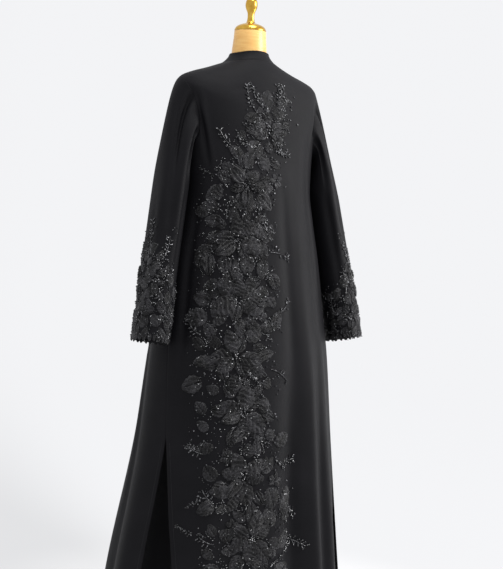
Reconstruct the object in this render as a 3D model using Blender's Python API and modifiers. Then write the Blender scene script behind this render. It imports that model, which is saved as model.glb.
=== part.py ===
"""An abaya cloak on a dress form, in metres, +Z up.

The wearer faces -Y, and the wearer's left is +X. The origin is on the floor, in the middle of the
underside of the form's round base.

The cloak is open down the front, with set-in sleeves, a stand collar, a slit in each side and
raised flowers on its back and cuffs. Each sewn piece is one closed wall of cloth. A point of the
body is given by its turn, in degrees from the middle of the back towards the wearer's left, and by
how far down from the neck seam it lies.
"""

import math

import bmesh
import bpy
import numpy as np
from mathutils.geometry import delaunay_2d_cdt

# Cloth
WALL = 0.0022
SEAM_GAP = 0.0003
DIFFERENCE = 1e-4

# The body of the cloak, ring by ring
RING_COLUMNS = (
    "down", "half_width", "side_y", "side_z", "back_y", "back_z", "front_y", "front_z",
)
RINGS = (
    (0.000, 0.072, 0.000, 1.426, 0.060, 1.437, -0.060, 1.401),
    (0.042, 0.114, 0.000, 1.411, 0.079, 1.406, -0.078, 1.370),
    (0.082, 0.152, 0.000, 1.399, 0.093, 1.370, -0.094, 1.336),
    (0.115, 0.180, 0.000, 1.386, 0.102, 1.337, -0.104, 1.307),
    (0.140, 0.1915, 0.001, 1.369, 0.107, 1.314, -0.109, 1.286),
    (0.180, 0.194, 0.002, 1.325, 0.114, 1.275, -0.113, 1.253),
    (0.230, 0.188, 0.004, 1.270, 0.122, 1.228, -0.115, 1.212),
    (0.290, 0.180, 0.006, 1.195, 0.133, 1.172, -0.117, 1.165),
    (0.345, 0.175, 0.010, 1.120, 0.146, 1.120, -0.120, 1.120),
    (0.415, 0.184, 0.014, 1.050, 0.158, 1.050, -0.122, 1.050),
    (0.516, 0.203, 0.018, 0.950, 0.172, 0.950, -0.127, 0.950),
    (0.648, 0.221, 0.024, 0.820, 0.190, 0.820, -0.131, 0.820),
    (0.749, 0.236, 0.028, 0.720, 0.202, 0.720, -0.136, 0.720),
    (0.961, 0.258, 0.030, 0.510, 0.221, 0.510, -0.150, 0.510),
    (1.284, 0.305, 0.018, 0.190, 0.236, 0.190, -0.198, 0.190),
    (1.436, 0.325, 0.015, 0.040, 0.243, 0.040, -0.215, 0.040),
)
HEM_DOWN = RINGS[-1][0]

# Seams of the body
SHOULDER_TIP_DOWN = 0.125
ARMPIT_DOWN = 0.290
SLIT_TOP_DOWN = 0.940
ARMHOLE_IN_BACK = 33.0
ARMHOLE_IN_FRONT = 35.0
SIDE_COLUMNS = ("down", "turn")
SIDE_SEAM = ((0.290, 90.0), (0.345, 88.5), (0.420, 85.0), (0.700, 73.0), (0.940, 65.0))
SLIT_BACK_EDGE = ((0.940, 65.0), (1.100, 56.5), (1.284, 47.5), (1.436, 44.0))
SLIT_FRONT_EDGE = ((0.940, 65.0), (1.100, 66.0), (1.284, 67.0), (1.436, 67.5))
OPENING_COLUMNS = ("down", "half_gap")
FRONT_OPENING = ((0.000, 0.004), (0.150, 0.005), (0.516, 0.012), (0.961, 0.024), (1.436, 0.040))

# Soft folds that hang from the shoulders, with columns top turn, hem turn, width, depth, where each
# starts and where it is full: ridges stand out, valleys go in
FOLDS = (
    (-33.0, -36.0, 7.0, 0.0040, 0.12, 0.34),
    (-6.0, -16.0, 6.5, -0.0150, 0.55, 1.35),
    (-22.0, -29.0, 6.0, 0.0110, 0.50, 1.30),
    (-33.0, -36.5, 4.0, -0.0080, 0.60, 1.30),
    (-41.0, -43.5, 5.0, 0.0130, 0.45, 1.25),
    (17.0, 20.0, 7.0, -0.0060, 0.70, 1.40),
    (31.0, 35.0, 7.0, 0.0090, 0.60, 1.40),
    (84.0, 80.0, 9.0, 0.0100, 0.70, 1.40),
    (106.0, 101.0, 7.0, -0.0110, 0.45, 1.30),
    (124.0, 119.0, 8.0, 0.0130, 0.40, 1.30),
    (143.0, 140.0, 7.0, -0.0100, 0.30, 1.30),
    (160.0, 159.0, 8.0, 0.0100, 0.30, 1.20),
    (-86.0, -82.0, 9.0, 0.0110, 0.70, 1.40),
    (-108.0, -103.0, 7.0, -0.0110, 0.50, 1.30),
    (-128.0, -122.0, 8.0, 0.0120, 0.40, 1.30),
    (-146.0, -143.0, 7.0, -0.0110, 0.30, 1.30),
    (-163.0, -161.0, 8.0, 0.0090, 0.30, 1.20),
)

# Sleeves: the centre line of the arm runs down, outwards and a little backwards
SLEEVE_TOP = (0.2115, 0.033, 1.115)
SLEEVE_END = (0.2735, 0.086, 0.756)
CAP_LENGTH = 0.150
CAP_PULL = 0.130
UNDERARM_PULL = 0.045
UNDERARM_TURN = 165.0
UNDERARM_TURN_POWER = 3.0
SLEEVE_COLUMNS = ("along", "half_width", "half_depth")
SLEEVE_GIRTH = ((0.0, 0.0375, 0.0570), (0.5, 0.0380, 0.0550), (1.0, 0.0405, 0.0570))
BODY_CLEARANCE = 0.0035
# Folds of a sleeve, with columns top round, end round, width, depth, start and end
SLEEVE_FOLDS = (
    (0.16, 0.20, 0.035, -0.0045, 0.02, 0.30),
    (0.24, 0.25, 0.035, 0.0035, 0.04, 0.34),
    (0.07, 0.10, 0.050, 0.0030, 0.10, 0.50),
    (0.33, 0.30, 0.040, -0.0035, 0.12, 0.45),
    (0.80, 0.78, 0.045, -0.0035, 0.06, 0.40),
    (0.90, 0.90, 0.050, 0.0030, 0.05, 0.45),
)

# Stand collar
COLLAR_TOP = {
    "half_width": 0.0490, "side_y": 0.002, "side_z": 1.451, "back_y": 0.0515, "back_z": 1.458,
    "front_y": -0.0490, "front_z": 1.432,
}
COLLAR_PULL = 0.020

# Raised flowers: a head is a ring of petals round a boss of beads, with leaves behind them
PETAL_HEIGHT = 0.0030
MIDRIB_HEIGHT = 0.0016
BOSS_HEIGHT = 0.0042
BOSS_RADIUS = 0.0065
PETAL_GAP = 0.0080
PETAL_SHAPE = 0.37
LEAF_ROOT = 0.62
LEAF_LENGTH = 0.62
LEAST_SPACING = 0.0045
KEEP_CLEAR = 0.0048
# Heads of the back, with columns turn, height, petals, reach and first heading
BACK_HEADS = (
    (0.0, 1.266, 5, 0.052, 20.0),
    (21.0, 1.131, 5, 0.060, 50.0),
    (26.5, 1.000, 6, 0.068, 12.0),
    (24.5, 0.860, 6, 0.070, 38.0),
    (24.5, 0.730, 6, 0.072, 5.0),
    (18.5, 0.598, 6, 0.072, 30.0),
    (17.0, 0.447, 6, 0.074, 15.0),
    (10.5, 0.299, 6, 0.074, 36.0),
    (6.5, 0.152, 6, 0.070, 10.0),
)
# Leaves between the heads, with columns turn, height, length and heading
BACK_LEAVES = (
    (-9.0, 1.322, 0.040, 150.0),
    (48.0, 1.090, 0.042, 110.0),
    (50.0, 1.068, 0.044, 350.0),
    (51.0, 0.985, 0.056, 285.0),
    (2.0, 0.925, 0.044, 250.0),
    (2.0, 0.795, 0.050, 130.0),
    (44.0, 0.668, 0.054, 340.0),
    (-1.0, 0.520, 0.048, 150.0),
    (31.0, 0.384, 0.046, 335.0),
    (-4.0, 0.372, 0.046, 200.0),
    (25.0, 0.222, 0.048, 20.0),
)
# Heads of a sleeve lie round it, from its outer side to its back, and above its hem
SLEEVE_HEADS = (
    (0.030, 0.056, 5, 0.046, 20.0),
    (0.270, 0.056, 5, 0.046, 60.0),
    (0.780, 0.056, 5, 0.046, 35.0),
    (0.130, 0.140, 5, 0.042, 50.0),
    (0.900, 0.136, 5, 0.040, 10.0),
)
SLEEVE_GIRTH_LENGTH = 2 * math.pi * 0.050

# Dress form
# The cloth rests along the ridge of each shoulder and stands clear everywhere else
CLEARANCE_COLUMNS = ("down", "on_ridge", "elsewhere")
FORM_CLEARANCE = (
    (0.000, 0.0007, 0.0030),
    (0.100, 0.0007, 0.0034),
    (0.125, 0.0024, 0.0042),
    (0.159, 0.0060, 0.0070),
    (0.207, 0.0130, 0.0130),
    (0.290, 0.0210, 0.0210),
)
RIDGE_TURNS = 9.0
# Rings below the armpits, with columns half width, back y, front y and z
TORSO_RINGS = (
    (0.1480, 0.1070, -0.0960, 1.120),
    (0.1290, 0.0950, -0.0850, 1.050),
    (0.1430, 0.1060, -0.0860, 0.980),
    (0.1640, 0.1210, -0.0930, 0.900),
    (0.1680, 0.1220, -0.0940, 0.830),
    (0.1600, 0.1140, -0.0860, 0.790),
    (0.1400, 0.0960, -0.0700, 0.772),
)
TORSO_BOTTOM_Z = TORSO_RINGS[-1][3]
STUB_RADIUS = 0.0445
STUB_TOP_Z = 1.4445
NECK_CENTRE_Y = 0.0025
NECK_PROFILE = (
    (0.0, 1.5090), (0.0385, 1.5090), (0.0390, 1.5080), (0.0402, 1.4880), (0.0425, 1.4660),
    (0.0438, 1.4448), (0.0, 1.4448),
)
CAP_PROFILE = (
    (0.0, 1.5940), (0.0058, 1.5922), (0.0108, 1.5870), (0.0143, 1.5795), (0.0150, 1.5720),
    (0.0136, 1.5640), (0.0104, 1.5570), (0.0086, 1.5510), (0.0084, 1.5430), (0.0094, 1.5340),
    (0.0120, 1.5290), (0.0200, 1.5262), (0.0295, 1.5225), (0.0360, 1.5175), (0.0390, 1.5120),
    (0.0390, 1.5093), (0.0, 1.5093),
)
POLE_RADIUS = 0.0125
BASE_RADIUS = 0.180
BASE_PROFILE = (
    (0.0, 0.0520), (0.0170, 0.0520), (0.0200, 0.0490), (0.0215, 0.0340), (0.0400, 0.0230),
    (0.1550, 0.0150), (0.1740, 0.0120), (BASE_RADIUS, 0.0060), (BASE_RADIUS, 0.0), (0.0, 0.0),
)
ROUND_STEPS = 28

# How finely each seam and panel is divided
NECK_STEPS = 12
NECK_FRONT_STEPS = 6
SHOULDER_STEPS = 5
ARMHOLE_STEPS = 12
SIDE_STEPS = 11
SLIT_STEPS = 8
BACK_COLUMNS = 22
FRONT_COLUMNS = 11
SLEEVE_ROUND = 2 * ARMHOLE_STEPS
SLEEVE_CAP_ROWS = (0.07, 0.15, 0.25, 0.38, 0.54, 0.76, 1.0)
SLEEVE_TUBE_ROWS = 11
TORSO_ROUND = 2 * BACK_COLUMNS


def smooth_curve(stations, values):
    """A cubic through the values that never swings past them."""
    x = np.array(stations, dtype=float)
    y = np.array(values, dtype=float)
    step = np.diff(x)
    slope = np.diff(y) / step
    tangent = np.concatenate(([slope[0]], np.zeros(len(x) - 2), [slope[-1]]))
    for i in range(1, len(x) - 1):
        before, after = slope[i - 1], slope[i]
        if before * after > 0:
            first = 2 * step[i] + step[i - 1]
            second = step[i] + 2 * step[i - 1]
            tangent[i] = (first + second) / (first / before + second / after)

    def value(at):
        at = np.clip(np.asarray(at, dtype=float), x[0], x[-1])
        i = np.clip(np.searchsorted(x, at, side="right") - 1, 0, len(x) - 2)
        t = (at - x[i]) / step[i]
        rise = (3 - 2 * t) * t * t
        return (
            y[i] * (1 - rise)
            + y[i + 1] * rise
            + step[i] * (t * (1 - t) ** 2 * tangent[i] - t * t * (1 - t) * tangent[i + 1])
        )

    return value


def columns_of(rows, names):
    """A smooth curve for each column, along the first one."""
    stations = [row[0] for row in rows]
    return {
        name: smooth_curve(stations, [row[i + 1] for row in rows])
        for i, name in enumerate(names[1:])
    }


RING = columns_of(RINGS, RING_COLUMNS)
SIDE_TURN = columns_of(SIDE_SEAM, SIDE_COLUMNS)["turn"]
BACK_SLIT_TURN = columns_of(SLIT_BACK_EDGE, SIDE_COLUMNS)["turn"]
FRONT_SLIT_TURN = columns_of(SLIT_FRONT_EDGE, SIDE_COLUMNS)["turn"]
HALF_GAP = columns_of(FRONT_OPENING, OPENING_COLUMNS)["half_gap"]
SLEEVE_HALF = columns_of(SLEEVE_GIRTH, SLEEVE_COLUMNS)
CLEARANCE = columns_of(FORM_CLEARANCE, CLEARANCE_COLUMNS)


def ease(at, start, full):
    t = np.clip((at - start) / (full - start), 0.0, 1.0)
    return t * t * (3 - 2 * t)


def unit(v):
    return v / np.linalg.norm(v, axis=-1, keepdims=True)


def section(turn, half_width, side_y, side_z, back_y, back_z, front_y, front_z):
    """A point on one level's outline, for a turn in radians."""
    s, c = np.sin(turn), np.cos(turn)
    y_reach = np.where(c > 0, back_y - side_y, side_y - front_y)
    z_reach = np.where(c > 0, back_z - side_z, front_z - side_z)
    return np.stack([half_width * s, side_y + y_reach * c, side_z + z_reach * c * c], -1)


def plain_body(turn, down):
    """The body with no folds, for turns in degrees."""
    return section(np.radians(turn), *(RING[name](down) for name in RING_COLUMNS[1:]))


def fold_height(turn, down):
    height = np.zeros(np.shape(turn))
    for top_turn, hem_turn, width, depth, starts, full in FOLDS:
        middle = top_turn + (hem_turn - top_turn) * np.clip((down - starts) / (HEM_DOWN - starts), 0, 1)
        height = height + depth * ease(down, starts, full) * np.exp(-(((turn - middle) / width) ** 2))
    return height


def folded_body(turn, down):
    flat = plain_body(turn, down)
    radial = np.stack(
        [
            np.sin(np.radians(turn)) / RING["half_width"](down),
            np.cos(np.radians(turn)) / (RING["back_y"](down) - RING["side_y"](down)),
            np.zeros(np.shape(turn)),
        ],
        -1,
    )
    return flat + unit(radial) * fold_height(turn, down)[..., None]


def with_normal(surface, a, b, a_step, b_step):
    """Points of a surface, and the directions out of it."""
    along_a = surface(a + a_step, b) - surface(a - a_step, b)
    along_b = surface(a, b + b_step) - surface(a, b - b_step)
    return surface(a, b), unit(np.cross(along_a, along_b))


def body_surface(turn, down):
    return with_normal(folded_body, turn, down, 0.05, DIFFERENCE)


def body_plane(turn, down):
    """The cloth laid out flat, near enough to divide it into even triangles."""
    girth = (RING["half_width"](down) + RING["back_y"](down)) / 2
    return np.stack([np.radians(turn) * girth, down], -1)


def armhole(round_it):
    """The left armhole: 0 at the shoulder tip, a half at the armpit, by way of the back."""
    angle = 2 * math.pi * np.asarray(round_it, dtype=float)
    inward = np.where(np.sin(angle) > 0, ARMHOLE_IN_BACK, ARMHOLE_IN_FRONT)
    middle = (SHOULDER_TIP_DOWN + ARMPIT_DOWN) / 2
    half = (ARMPIT_DOWN - SHOULDER_TIP_DOWN) / 2
    return 90.0 - inward * np.sin(angle), middle - half * np.cos(angle)


def armhole_turn(down, inward):
    """How far in the armhole's edge lies at a level."""
    middle = (SHOULDER_TIP_DOWN + ARMPIT_DOWN) / 2
    half = (ARMPIT_DOWN - SHOULDER_TIP_DOWN) / 2
    return 90.0 - inward * math.sqrt(max(0.0, 1 - ((down - middle) / half) ** 2))


def front_turn(down):
    """The turn of the open front edge."""
    return 180.0 - np.degrees(np.arcsin(HALF_GAP(down) / RING["half_width"](down)))


def back_limit(down):
    if down <= SHOULDER_TIP_DOWN:
        return 90.0
    if down < ARMPIT_DOWN:
        return armhole_turn(down, ARMHOLE_IN_BACK)
    return float(SIDE_TURN(down) if down <= SLIT_TOP_DOWN else BACK_SLIT_TURN(down))


def front_limit(down):
    if down <= SHOULDER_TIP_DOWN:
        return 90.0
    if down < ARMPIT_DOWN:
        return armhole_turn(down, -ARMHOLE_IN_FRONT)
    return float(SIDE_TURN(down) if down <= SLIT_TOP_DOWN else FRONT_SLIT_TURN(down))


SHOULDER_ROWS = np.linspace(0.0, SHOULDER_TIP_DOWN, SHOULDER_STEPS + 1)
SIDE_ROWS = np.linspace(ARMPIT_DOWN, SLIT_TOP_DOWN, SIDE_STEPS + 1)
SLIT_ROWS = np.linspace(SLIT_TOP_DOWN, HEM_DOWN, SLIT_STEPS + 1)
ARMHOLE_ROUND = np.linspace(0.0, 0.5, ARMHOLE_STEPS + 1)
ARMHOLE_ROWS = armhole(ARMHOLE_ROUND)[1][3:-3]
BODY_ROWS = np.concatenate([SHOULDER_ROWS[1:], ARMHOLE_ROWS, SIDE_ROWS, SLIT_ROWS[1:-1]])


def run(turns, downs, kind):
    """One stretch of a panel's edge, without its last point."""
    turns, downs = np.broadcast_arrays(np.asarray(turns, float), np.asarray(downs, float))
    return [(t, d, kind) for t, d in zip(turns[:-1], downs[:-1])]


def back_border():
    """The back panel's edge, from the left end of the neck seam round by the right side."""
    half = ARMHOLE_ROUND
    arm_turn, arm_down = armhole(half)
    hem_turn = float(BACK_SLIT_TURN(HEM_DOWN))
    right = [
        (np.full(SHOULDER_STEPS + 1, -90.0), SHOULDER_ROWS, "sewn"),
        (-arm_turn, arm_down, "sewn"),
        (-SIDE_TURN(SIDE_ROWS), SIDE_ROWS, "sewn"),
        (-BACK_SLIT_TURN(SLIT_ROWS), SLIT_ROWS, "free"),
    ]
    border = run(np.linspace(90, -90, NECK_STEPS + 1), np.zeros(NECK_STEPS + 1), "sewn")
    for turns, downs, kind in right:
        border += run(turns, downs, kind)
    hem_turns = np.linspace(-hem_turn, hem_turn, BACK_COLUMNS + 1)
    border += run(hem_turns, np.full(BACK_COLUMNS + 1, HEM_DOWN), "free")
    for turns, downs, kind in reversed(right):
        border += run(-turns[::-1], downs[::-1], kind)
    return border


def front_border():
    """The left front's edge, from the shoulder end of the neck seam round by the open front."""
    arm_turn, arm_down = armhole(0.5 + ARMHOLE_ROUND)
    rows = np.concatenate([[0.0], BODY_ROWS, [HEM_DOWN]])
    hem = np.linspace(front_turn(HEM_DOWN), FRONT_SLIT_TURN(HEM_DOWN), FRONT_COLUMNS + 1)
    neck = np.linspace(90.0, front_turn(0.0), NECK_FRONT_STEPS + 1)
    border = run(neck, np.zeros(len(neck)), "sewn")
    border += run(front_turn(rows), rows, "free")
    border += run(hem, np.full(len(hem), HEM_DOWN), "free")
    border += run(FRONT_SLIT_TURN(SLIT_ROWS[::-1]), SLIT_ROWS[::-1], "free")
    border += run(SIDE_TURN(SIDE_ROWS[::-1]), SIDE_ROWS[::-1], "sewn")
    border += run(arm_turn, arm_down, "sewn")
    border += run(np.full(SHOULDER_STEPS + 1, 90.0), SHOULDER_ROWS[::-1], "sewn")
    return border


def even_points(low_turn, high_turn, columns):
    """Points inside a panel, in even columns between its two edges at each level."""
    points = []
    for down in BODY_ROWS:
        turns = np.linspace(low_turn(down), high_turn(down), columns + 1)[1:-1]
        points += [(turn, down) for turn in turns]
    return np.array(points)


def petal_points(across, up, length, heading, fine):
    """A pointed petal: its edge at the cloth, its blades raised and a lower rib between them."""
    ahead = np.array([math.cos(heading), math.sin(heading)])
    aside = np.array([-ahead[1], ahead[0]])
    half = PETAL_SHAPE * length
    steps = (0.25, 0.5, 0.75) if fine else (0.5,)
    points = [(across, up, 0.0)]
    points.append((*(np.array([across, up]) + ahead * length), 0.0))
    for t in steps:
        middle = np.array([across, up]) + ahead * length * t
        wide = half * math.sin(math.pi * t ** 0.8)
        points.append((*middle, MIDRIB_HEIGHT if fine else PETAL_HEIGHT))
        for side in (-1, 1):
            points.append((*(middle + aside * side * wide), 0.0))
            if fine:
                points.append((*(middle + aside * side * wide * 0.55), PETAL_HEIGHT))
    return points


def petal_rows(petals, reach, first):
    """A flower's petals: where each starts, across and up, its length and its heading."""
    rows = []
    for k in range(petals):
        heading = math.radians(first + 360.0 * k / petals + 9.0 * math.sin(3.1 * k + first))
        length = reach * (0.86 + 0.14 * math.cos(2.4 * k + first)) - PETAL_GAP
        rows.append((PETAL_GAP * math.cos(heading), PETAL_GAP * math.sin(heading), length, heading))
    return rows


def leaf_rows(petals, reach, first):
    """The leaves that stand out from behind a flower's petals."""
    rows = []
    for k in range(petals):
        away = math.radians(first + 360.0 * (k + 0.5) / petals)
        root = LEAF_ROOT * reach
        length = LEAF_LENGTH * reach * (0.9 + 0.1 * math.sin(5.0 * k))
        heading = away + 0.42 * math.sin(1.7 * k + first)
        rows.append((root * math.cos(away), root * math.sin(away), length, heading))
    return rows


def head_points(petals, reach, first, fine):
    """A flower's raised points, across, up and out from its middle."""
    points = [(0.0, 0.0, BOSS_HEIGHT)]
    for k in range(5):
        angle = 2 * math.pi * k / 5
        beside = BOSS_RADIUS * math.cos(angle)
        above = BOSS_RADIUS * math.sin(angle)
        points.append((beside, above, BOSS_HEIGHT / 2))
    for row in petal_rows(petals, reach, first):
        points += petal_points(*row, fine)
    if fine:
        for row in leaf_rows(petals, reach, first):
            points += petal_points(*row, False)
    return points


def spaced_out(points, plane):
    """Drops each point that lies on or close to a higher one."""
    kept = []
    for p in sorted(points, key=lambda q: -q[2]):
        flat = plane(np.array(p[0]), np.array(p[1]))
        if all(np.linalg.norm(flat - other) > LEAST_SPACING for other, _ in kept):
            kept.append((flat, p))
    return np.array([p for _, p in kept])


BACK_LEVELS = np.linspace(0.0, HEM_DOWN, 400)


def back_raised():
    """The raised points of the back, as turn, down and height."""
    flowers = [(turn, up, head_points(*rest, True)) for turn, up, *rest in BACK_HEADS]
    for turn, up, length, heading in BACK_LEAVES:
        flowers.append((turn, up, petal_points(0.0, 0.0, length, math.radians(heading), True)))
    raised = []
    for turn, level, points in flowers:
        down = float(np.interp(-level, -RING["back_z"](BACK_LEVELS), BACK_LEVELS))
        beside = plain_body(np.array([turn - 0.5, turn + 0.5]), np.array([down, down]))
        girth = float(np.linalg.norm(beside[1] - beside[0])) / math.radians(1.0)
        for across, up, height in points:
            at = (turn + math.degrees(across / girth), down - up, height)
            if abs(at[0]) < back_limit(at[1]) - 4 and 0.02 < at[1] < HEM_DOWN - 0.012:
                raised.append(at)
    return spaced_out(raised, body_plane)


def sleeve_raised():
    """The raised points of a sleeve, as round, along and height."""
    raised = []
    for middle, level, *rest in SLEEVE_HEADS:
        for across, up, height in head_points(*rest, False):
            round_it = (middle + across / SLEEVE_GIRTH_LENGTH + 0.5) % 1.0 - 0.5
            if level + up > 0.010 and abs(round_it) < 0.48:
                raised.append((round_it, SLEEVE_LENGTH - level - up, height))
    return spaced_out(raised, sleeve_plane)


def cloth_piece(name, surface, plane, border, inside, raised, material, mirrored=False):
    """A closed wall of cloth. Its outer side passes through the raised points, and its inner side
    is plain. A sewn edge stands half a seam gap back, and a joined edge closes a tube."""
    edge = np.array([(a, b) for a, b, _ in border])
    kinds = [kind for _, _, kind in border]
    count = len(edge)
    inside = np.array(inside)
    outside = inside
    if len(raised):
        flat = plane(inside[:, 0], inside[:, 1])
        marks = plane(raised[:, 0], raised[:, 1])
        far = np.linalg.norm(flat[:, None] - marks[None], axis=2).min(axis=1)
        outside = inside[far > KEEP_CLEAR]
    heights = np.zeros(count + len(outside))
    outer_ab = np.concatenate([edge, outside])
    if len(raised):
        outer_ab = np.concatenate([outer_ab, raised[:, :2]])
        heights = np.concatenate([heights, raised[:, 2]])
    inner_ab = np.concatenate([edge, inside])

    def triangles(points):
        loop = [(i, (i + 1) % count) for i in range(count)]
        flat = [tuple(p) for p in plane(points[:, 0], points[:, 1])]
        _, _, faces, origins, _, _ = delaunay_2d_cdt(flat, loop, [], 1, 1e-9)
        return [[origins[i][0] for i in face] for face in faces]

    def placed(points, lift):
        where, out = surface(points[:, 0], points[:, 1])
        where[:count] += seam_shift(where[:count], out[:count], kinds, way_in)
        return where + out * lift[:, None]

    way_in = inward_sign(surface, plane, edge, inside)
    outer = placed(outer_ab, heights)
    inner = placed(inner_ab, np.full(len(inner_ab), -WALL))
    mesh = bpy.data.meshes.new(name)
    shell = bmesh.new()
    flip = np.array([-1.0 if mirrored else 1.0, 1.0, 1.0])
    tops = [shell.verts.new(p * flip) for p in outer]
    lows = [shell.verts.new(p * flip) for p in inner]
    for face in triangles(outer_ab):
        shell.faces.new([tops[i] for i in face])
    for face in triangles(inner_ab):
        shell.faces.new([lows[i] for i in reversed(face)])
    for i, kind in enumerate(kinds):
        if kind != "joined":
            j = (i + 1) % count
            shell.faces.new([tops[i], lows[i], lows[j], tops[j]])
    bmesh.ops.remove_doubles(shell, verts=shell.verts, dist=1e-6)
    bmesh.ops.triangulate(shell, faces=[f for f in shell.faces if len(f.verts) > 3])
    finish_closed(shell, mesh)
    return add_object(name, mesh, material)


def finish_closed(body, mesh):
    """Points every face of a closed body outwards and hands it to its mesh."""
    bmesh.ops.recalc_face_normals(body, faces=body.faces)
    if body.calc_volume(signed=True) < 0:
        bmesh.ops.reverse_faces(body, faces=body.faces)
    body.to_mesh(mesh)
    body.free()


def inward_sign(surface, plane, edge, inside):
    """1 where out-of-cloth cross edge points into the piece, else -1."""
    x, y = plane(edge[:, 0], edge[:, 1]).T
    area = float(np.sum(x * np.roll(y, -1) - y * np.roll(x, -1)))
    a, b = inside[len(inside) // 2]
    corner = np.array([a, a + DIFFERENCE, a]), np.array([b, b, b + DIFFERENCE])
    where, out = surface(*corner)
    handed = np.cross(where[1] - where[0], where[2] - where[0]) @ out[0]
    return math.copysign(1.0, area) * math.copysign(1.0, handed)


def seam_shift(where, out, kinds, way_in):
    """How far each edge point moves into its piece, so that sewn edges stand a seam gap apart."""
    shift = np.zeros(where.shape)
    count = len(where)
    back = SEAM_GAP / 2
    for i in range(count):
        sides = []
        for j, kind in ((i - 1, kinds[i - 1]), (i, kinds[i])):
            if kind == "sewn":
                run_along = where[(j + 1) % count] - where[j]
                sides.append(unit(np.cross(out[i], unit(run_along))) * way_in)
        if len(sides) == 1:
            shift[i] = sides[0] * back
        elif len(sides) == 2:
            shift[i] = (sides[0] + sides[1]) * back / max(0.4, 1 + sides[0] @ sides[1])
    return shift


def outside_body(points, clearance):
    """Moves the points that lie in the body, or too near it, out to the clearance."""
    moved = np.array(points)
    x, y, z = moved[..., 0], moved[..., 1], moved[..., 2]
    down = np.interp(-z, -RING["side_z"](BACK_LEVELS), BACK_LEVELS)
    wide = RING["half_width"](down)
    side_y = RING["side_y"](down)
    deep = np.where(y > side_y, RING["back_y"](down) - side_y, side_y - RING["front_y"](down))
    offset = (y - side_y) / deep
    body_x = wide * np.sqrt(np.clip(1 - offset ** 2, 0.05, 1))
    lack = body_x + clearance - x
    near = ease(z, 1.290, 1.215) if np.ndim(z) else ease(np.array(z), 1.290, 1.215)
    moved[..., 0] = x + near * np.maximum(lack, 0)
    return moved


SLEEVE_AXIS = np.array(SLEEVE_END) - np.array(SLEEVE_TOP)
TUBE_LENGTH = float(np.linalg.norm(SLEEVE_AXIS))
SLEEVE_LENGTH = CAP_LENGTH + TUBE_LENGTH
SLEEVE_DOWN = SLEEVE_AXIS / TUBE_LENGTH
SLEEVE_BACK = unit(np.array([0.0, 1.0, 0.0]) - SLEEVE_DOWN * SLEEVE_DOWN[1])
SLEEVE_OUT = np.cross(SLEEVE_DOWN, SLEEVE_BACK)


def tube_point(round_it, share):
    """A point of the sleeve's tube: round it from its outer side by the back."""
    angle = 2 * math.pi * round_it
    centre = np.array(SLEEVE_TOP) + share[..., None] * SLEEVE_AXIS
    wide = SLEEVE_HALF["half_width"](share)
    deep = SLEEVE_HALF["half_depth"](share)
    return (
        centre
        + (wide * np.cos(angle))[..., None] * SLEEVE_OUT
        + (deep * np.sin(angle))[..., None] * SLEEVE_BACK
    )


def armhole_frame(round_it):
    """At the armhole's edge: the point, the way out of the body, and the way off the panel."""
    turn, down = armhole(round_it)
    point, out = body_surface(turn, down)
    before, after = (body_surface(*armhole(round_it + d))[0] for d in (-DIFFERENCE, DIFFERENCE))
    off = unit(np.cross(after - before, out))
    centre_turn, centre_down = 90.0, (SHOULDER_TIP_DOWN + ARMPIT_DOWN) / 2
    centre = plain_body(np.array(centre_turn), np.array(centre_down))
    sign = np.sign(((centre - point) * off).sum(-1))[..., None]
    return point, out, off * sign


def sleeve_turn(round_it):
    """How far the sleeve turns off the body's surface at the seam: not at all at the top, and
    nearly back on itself under the arm."""
    under = (1 - np.cos(2 * math.pi * round_it)) / 2
    return np.radians(UNDERARM_TURN) * under ** UNDERARM_TURN_POWER


def sleeve_points(round_it, along):
    """The sleeve's outer side. Along 0 it meets the armhole, and past the cap it is a tube."""
    point, out, off = armhole_frame(round_it)
    turn = sleeve_turn(round_it)[..., None]
    leave = off * np.cos(turn) + out * np.sin(turn)
    start = point + (off * np.cos(turn / 2) + out * np.sin(turn / 2)) * SEAM_GAP * 0.6
    share = np.clip((along - CAP_LENGTH) / TUBE_LENGTH, 0.0, 1.0)
    end = tube_point(round_it, share)
    t = np.clip(along / CAP_LENGTH, 0.0, 1.0)[..., None]
    under = ((1 - np.cos(2 * math.pi * round_it)) / 2)[..., None]
    pull = CAP_PULL + (UNDERARM_PULL - CAP_PULL) * under
    reach = np.linalg.norm(end - start, axis=-1, keepdims=True)
    rise = (3 - 2 * t) * t * t
    cap = (
        start * (1 - rise)
        + end * rise
        + t * (1 - t) ** 2 * pull * leave
        - t * t * (1 - t) * reach * SLEEVE_DOWN
    )
    surface = np.where(along[..., None] < CAP_LENGTH, cap, end)
    height = np.zeros(np.shape(round_it))
    for top_round, end_round, width, depth, starts, ends in SLEEVE_FOLDS:
        middle = top_round + (end_round - top_round) * along / SLEEVE_LENGTH
        apart = (round_it - middle + 0.5) % 1.0 - 0.5
        grown = ease(along, starts, starts + 0.08) * (1 - ease(along, ends - 0.10, ends))
        height = height + depth * grown * np.exp(-((apart / width) ** 2))
    angle = 2 * math.pi * round_it
    radial = np.cos(angle)[..., None] * SLEEVE_OUT + np.sin(angle)[..., None] * SLEEVE_BACK
    surface = surface + radial * height[..., None]
    clearance = BODY_CLEARANCE * ease(along, 0.0, 0.06)
    return np.where(along[..., None] > 0, outside_body(surface, clearance), surface)


def sleeve_surface(round_it, along):
    where, normal = with_normal(sleeve_points, round_it, along, 0.002, 5e-4)
    _, out, off = armhole_frame(round_it)
    turn = sleeve_turn(round_it)[..., None]
    seam_normal = out * np.cos(turn) - off * np.sin(turn)
    share = ease(along, 0.0, 0.030)[..., None]
    return where, unit(seam_normal * (1 - share) - normal * share)


def sleeve_plane(round_it, along):
    return np.stack([round_it * 0.31, along], -1)


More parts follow.
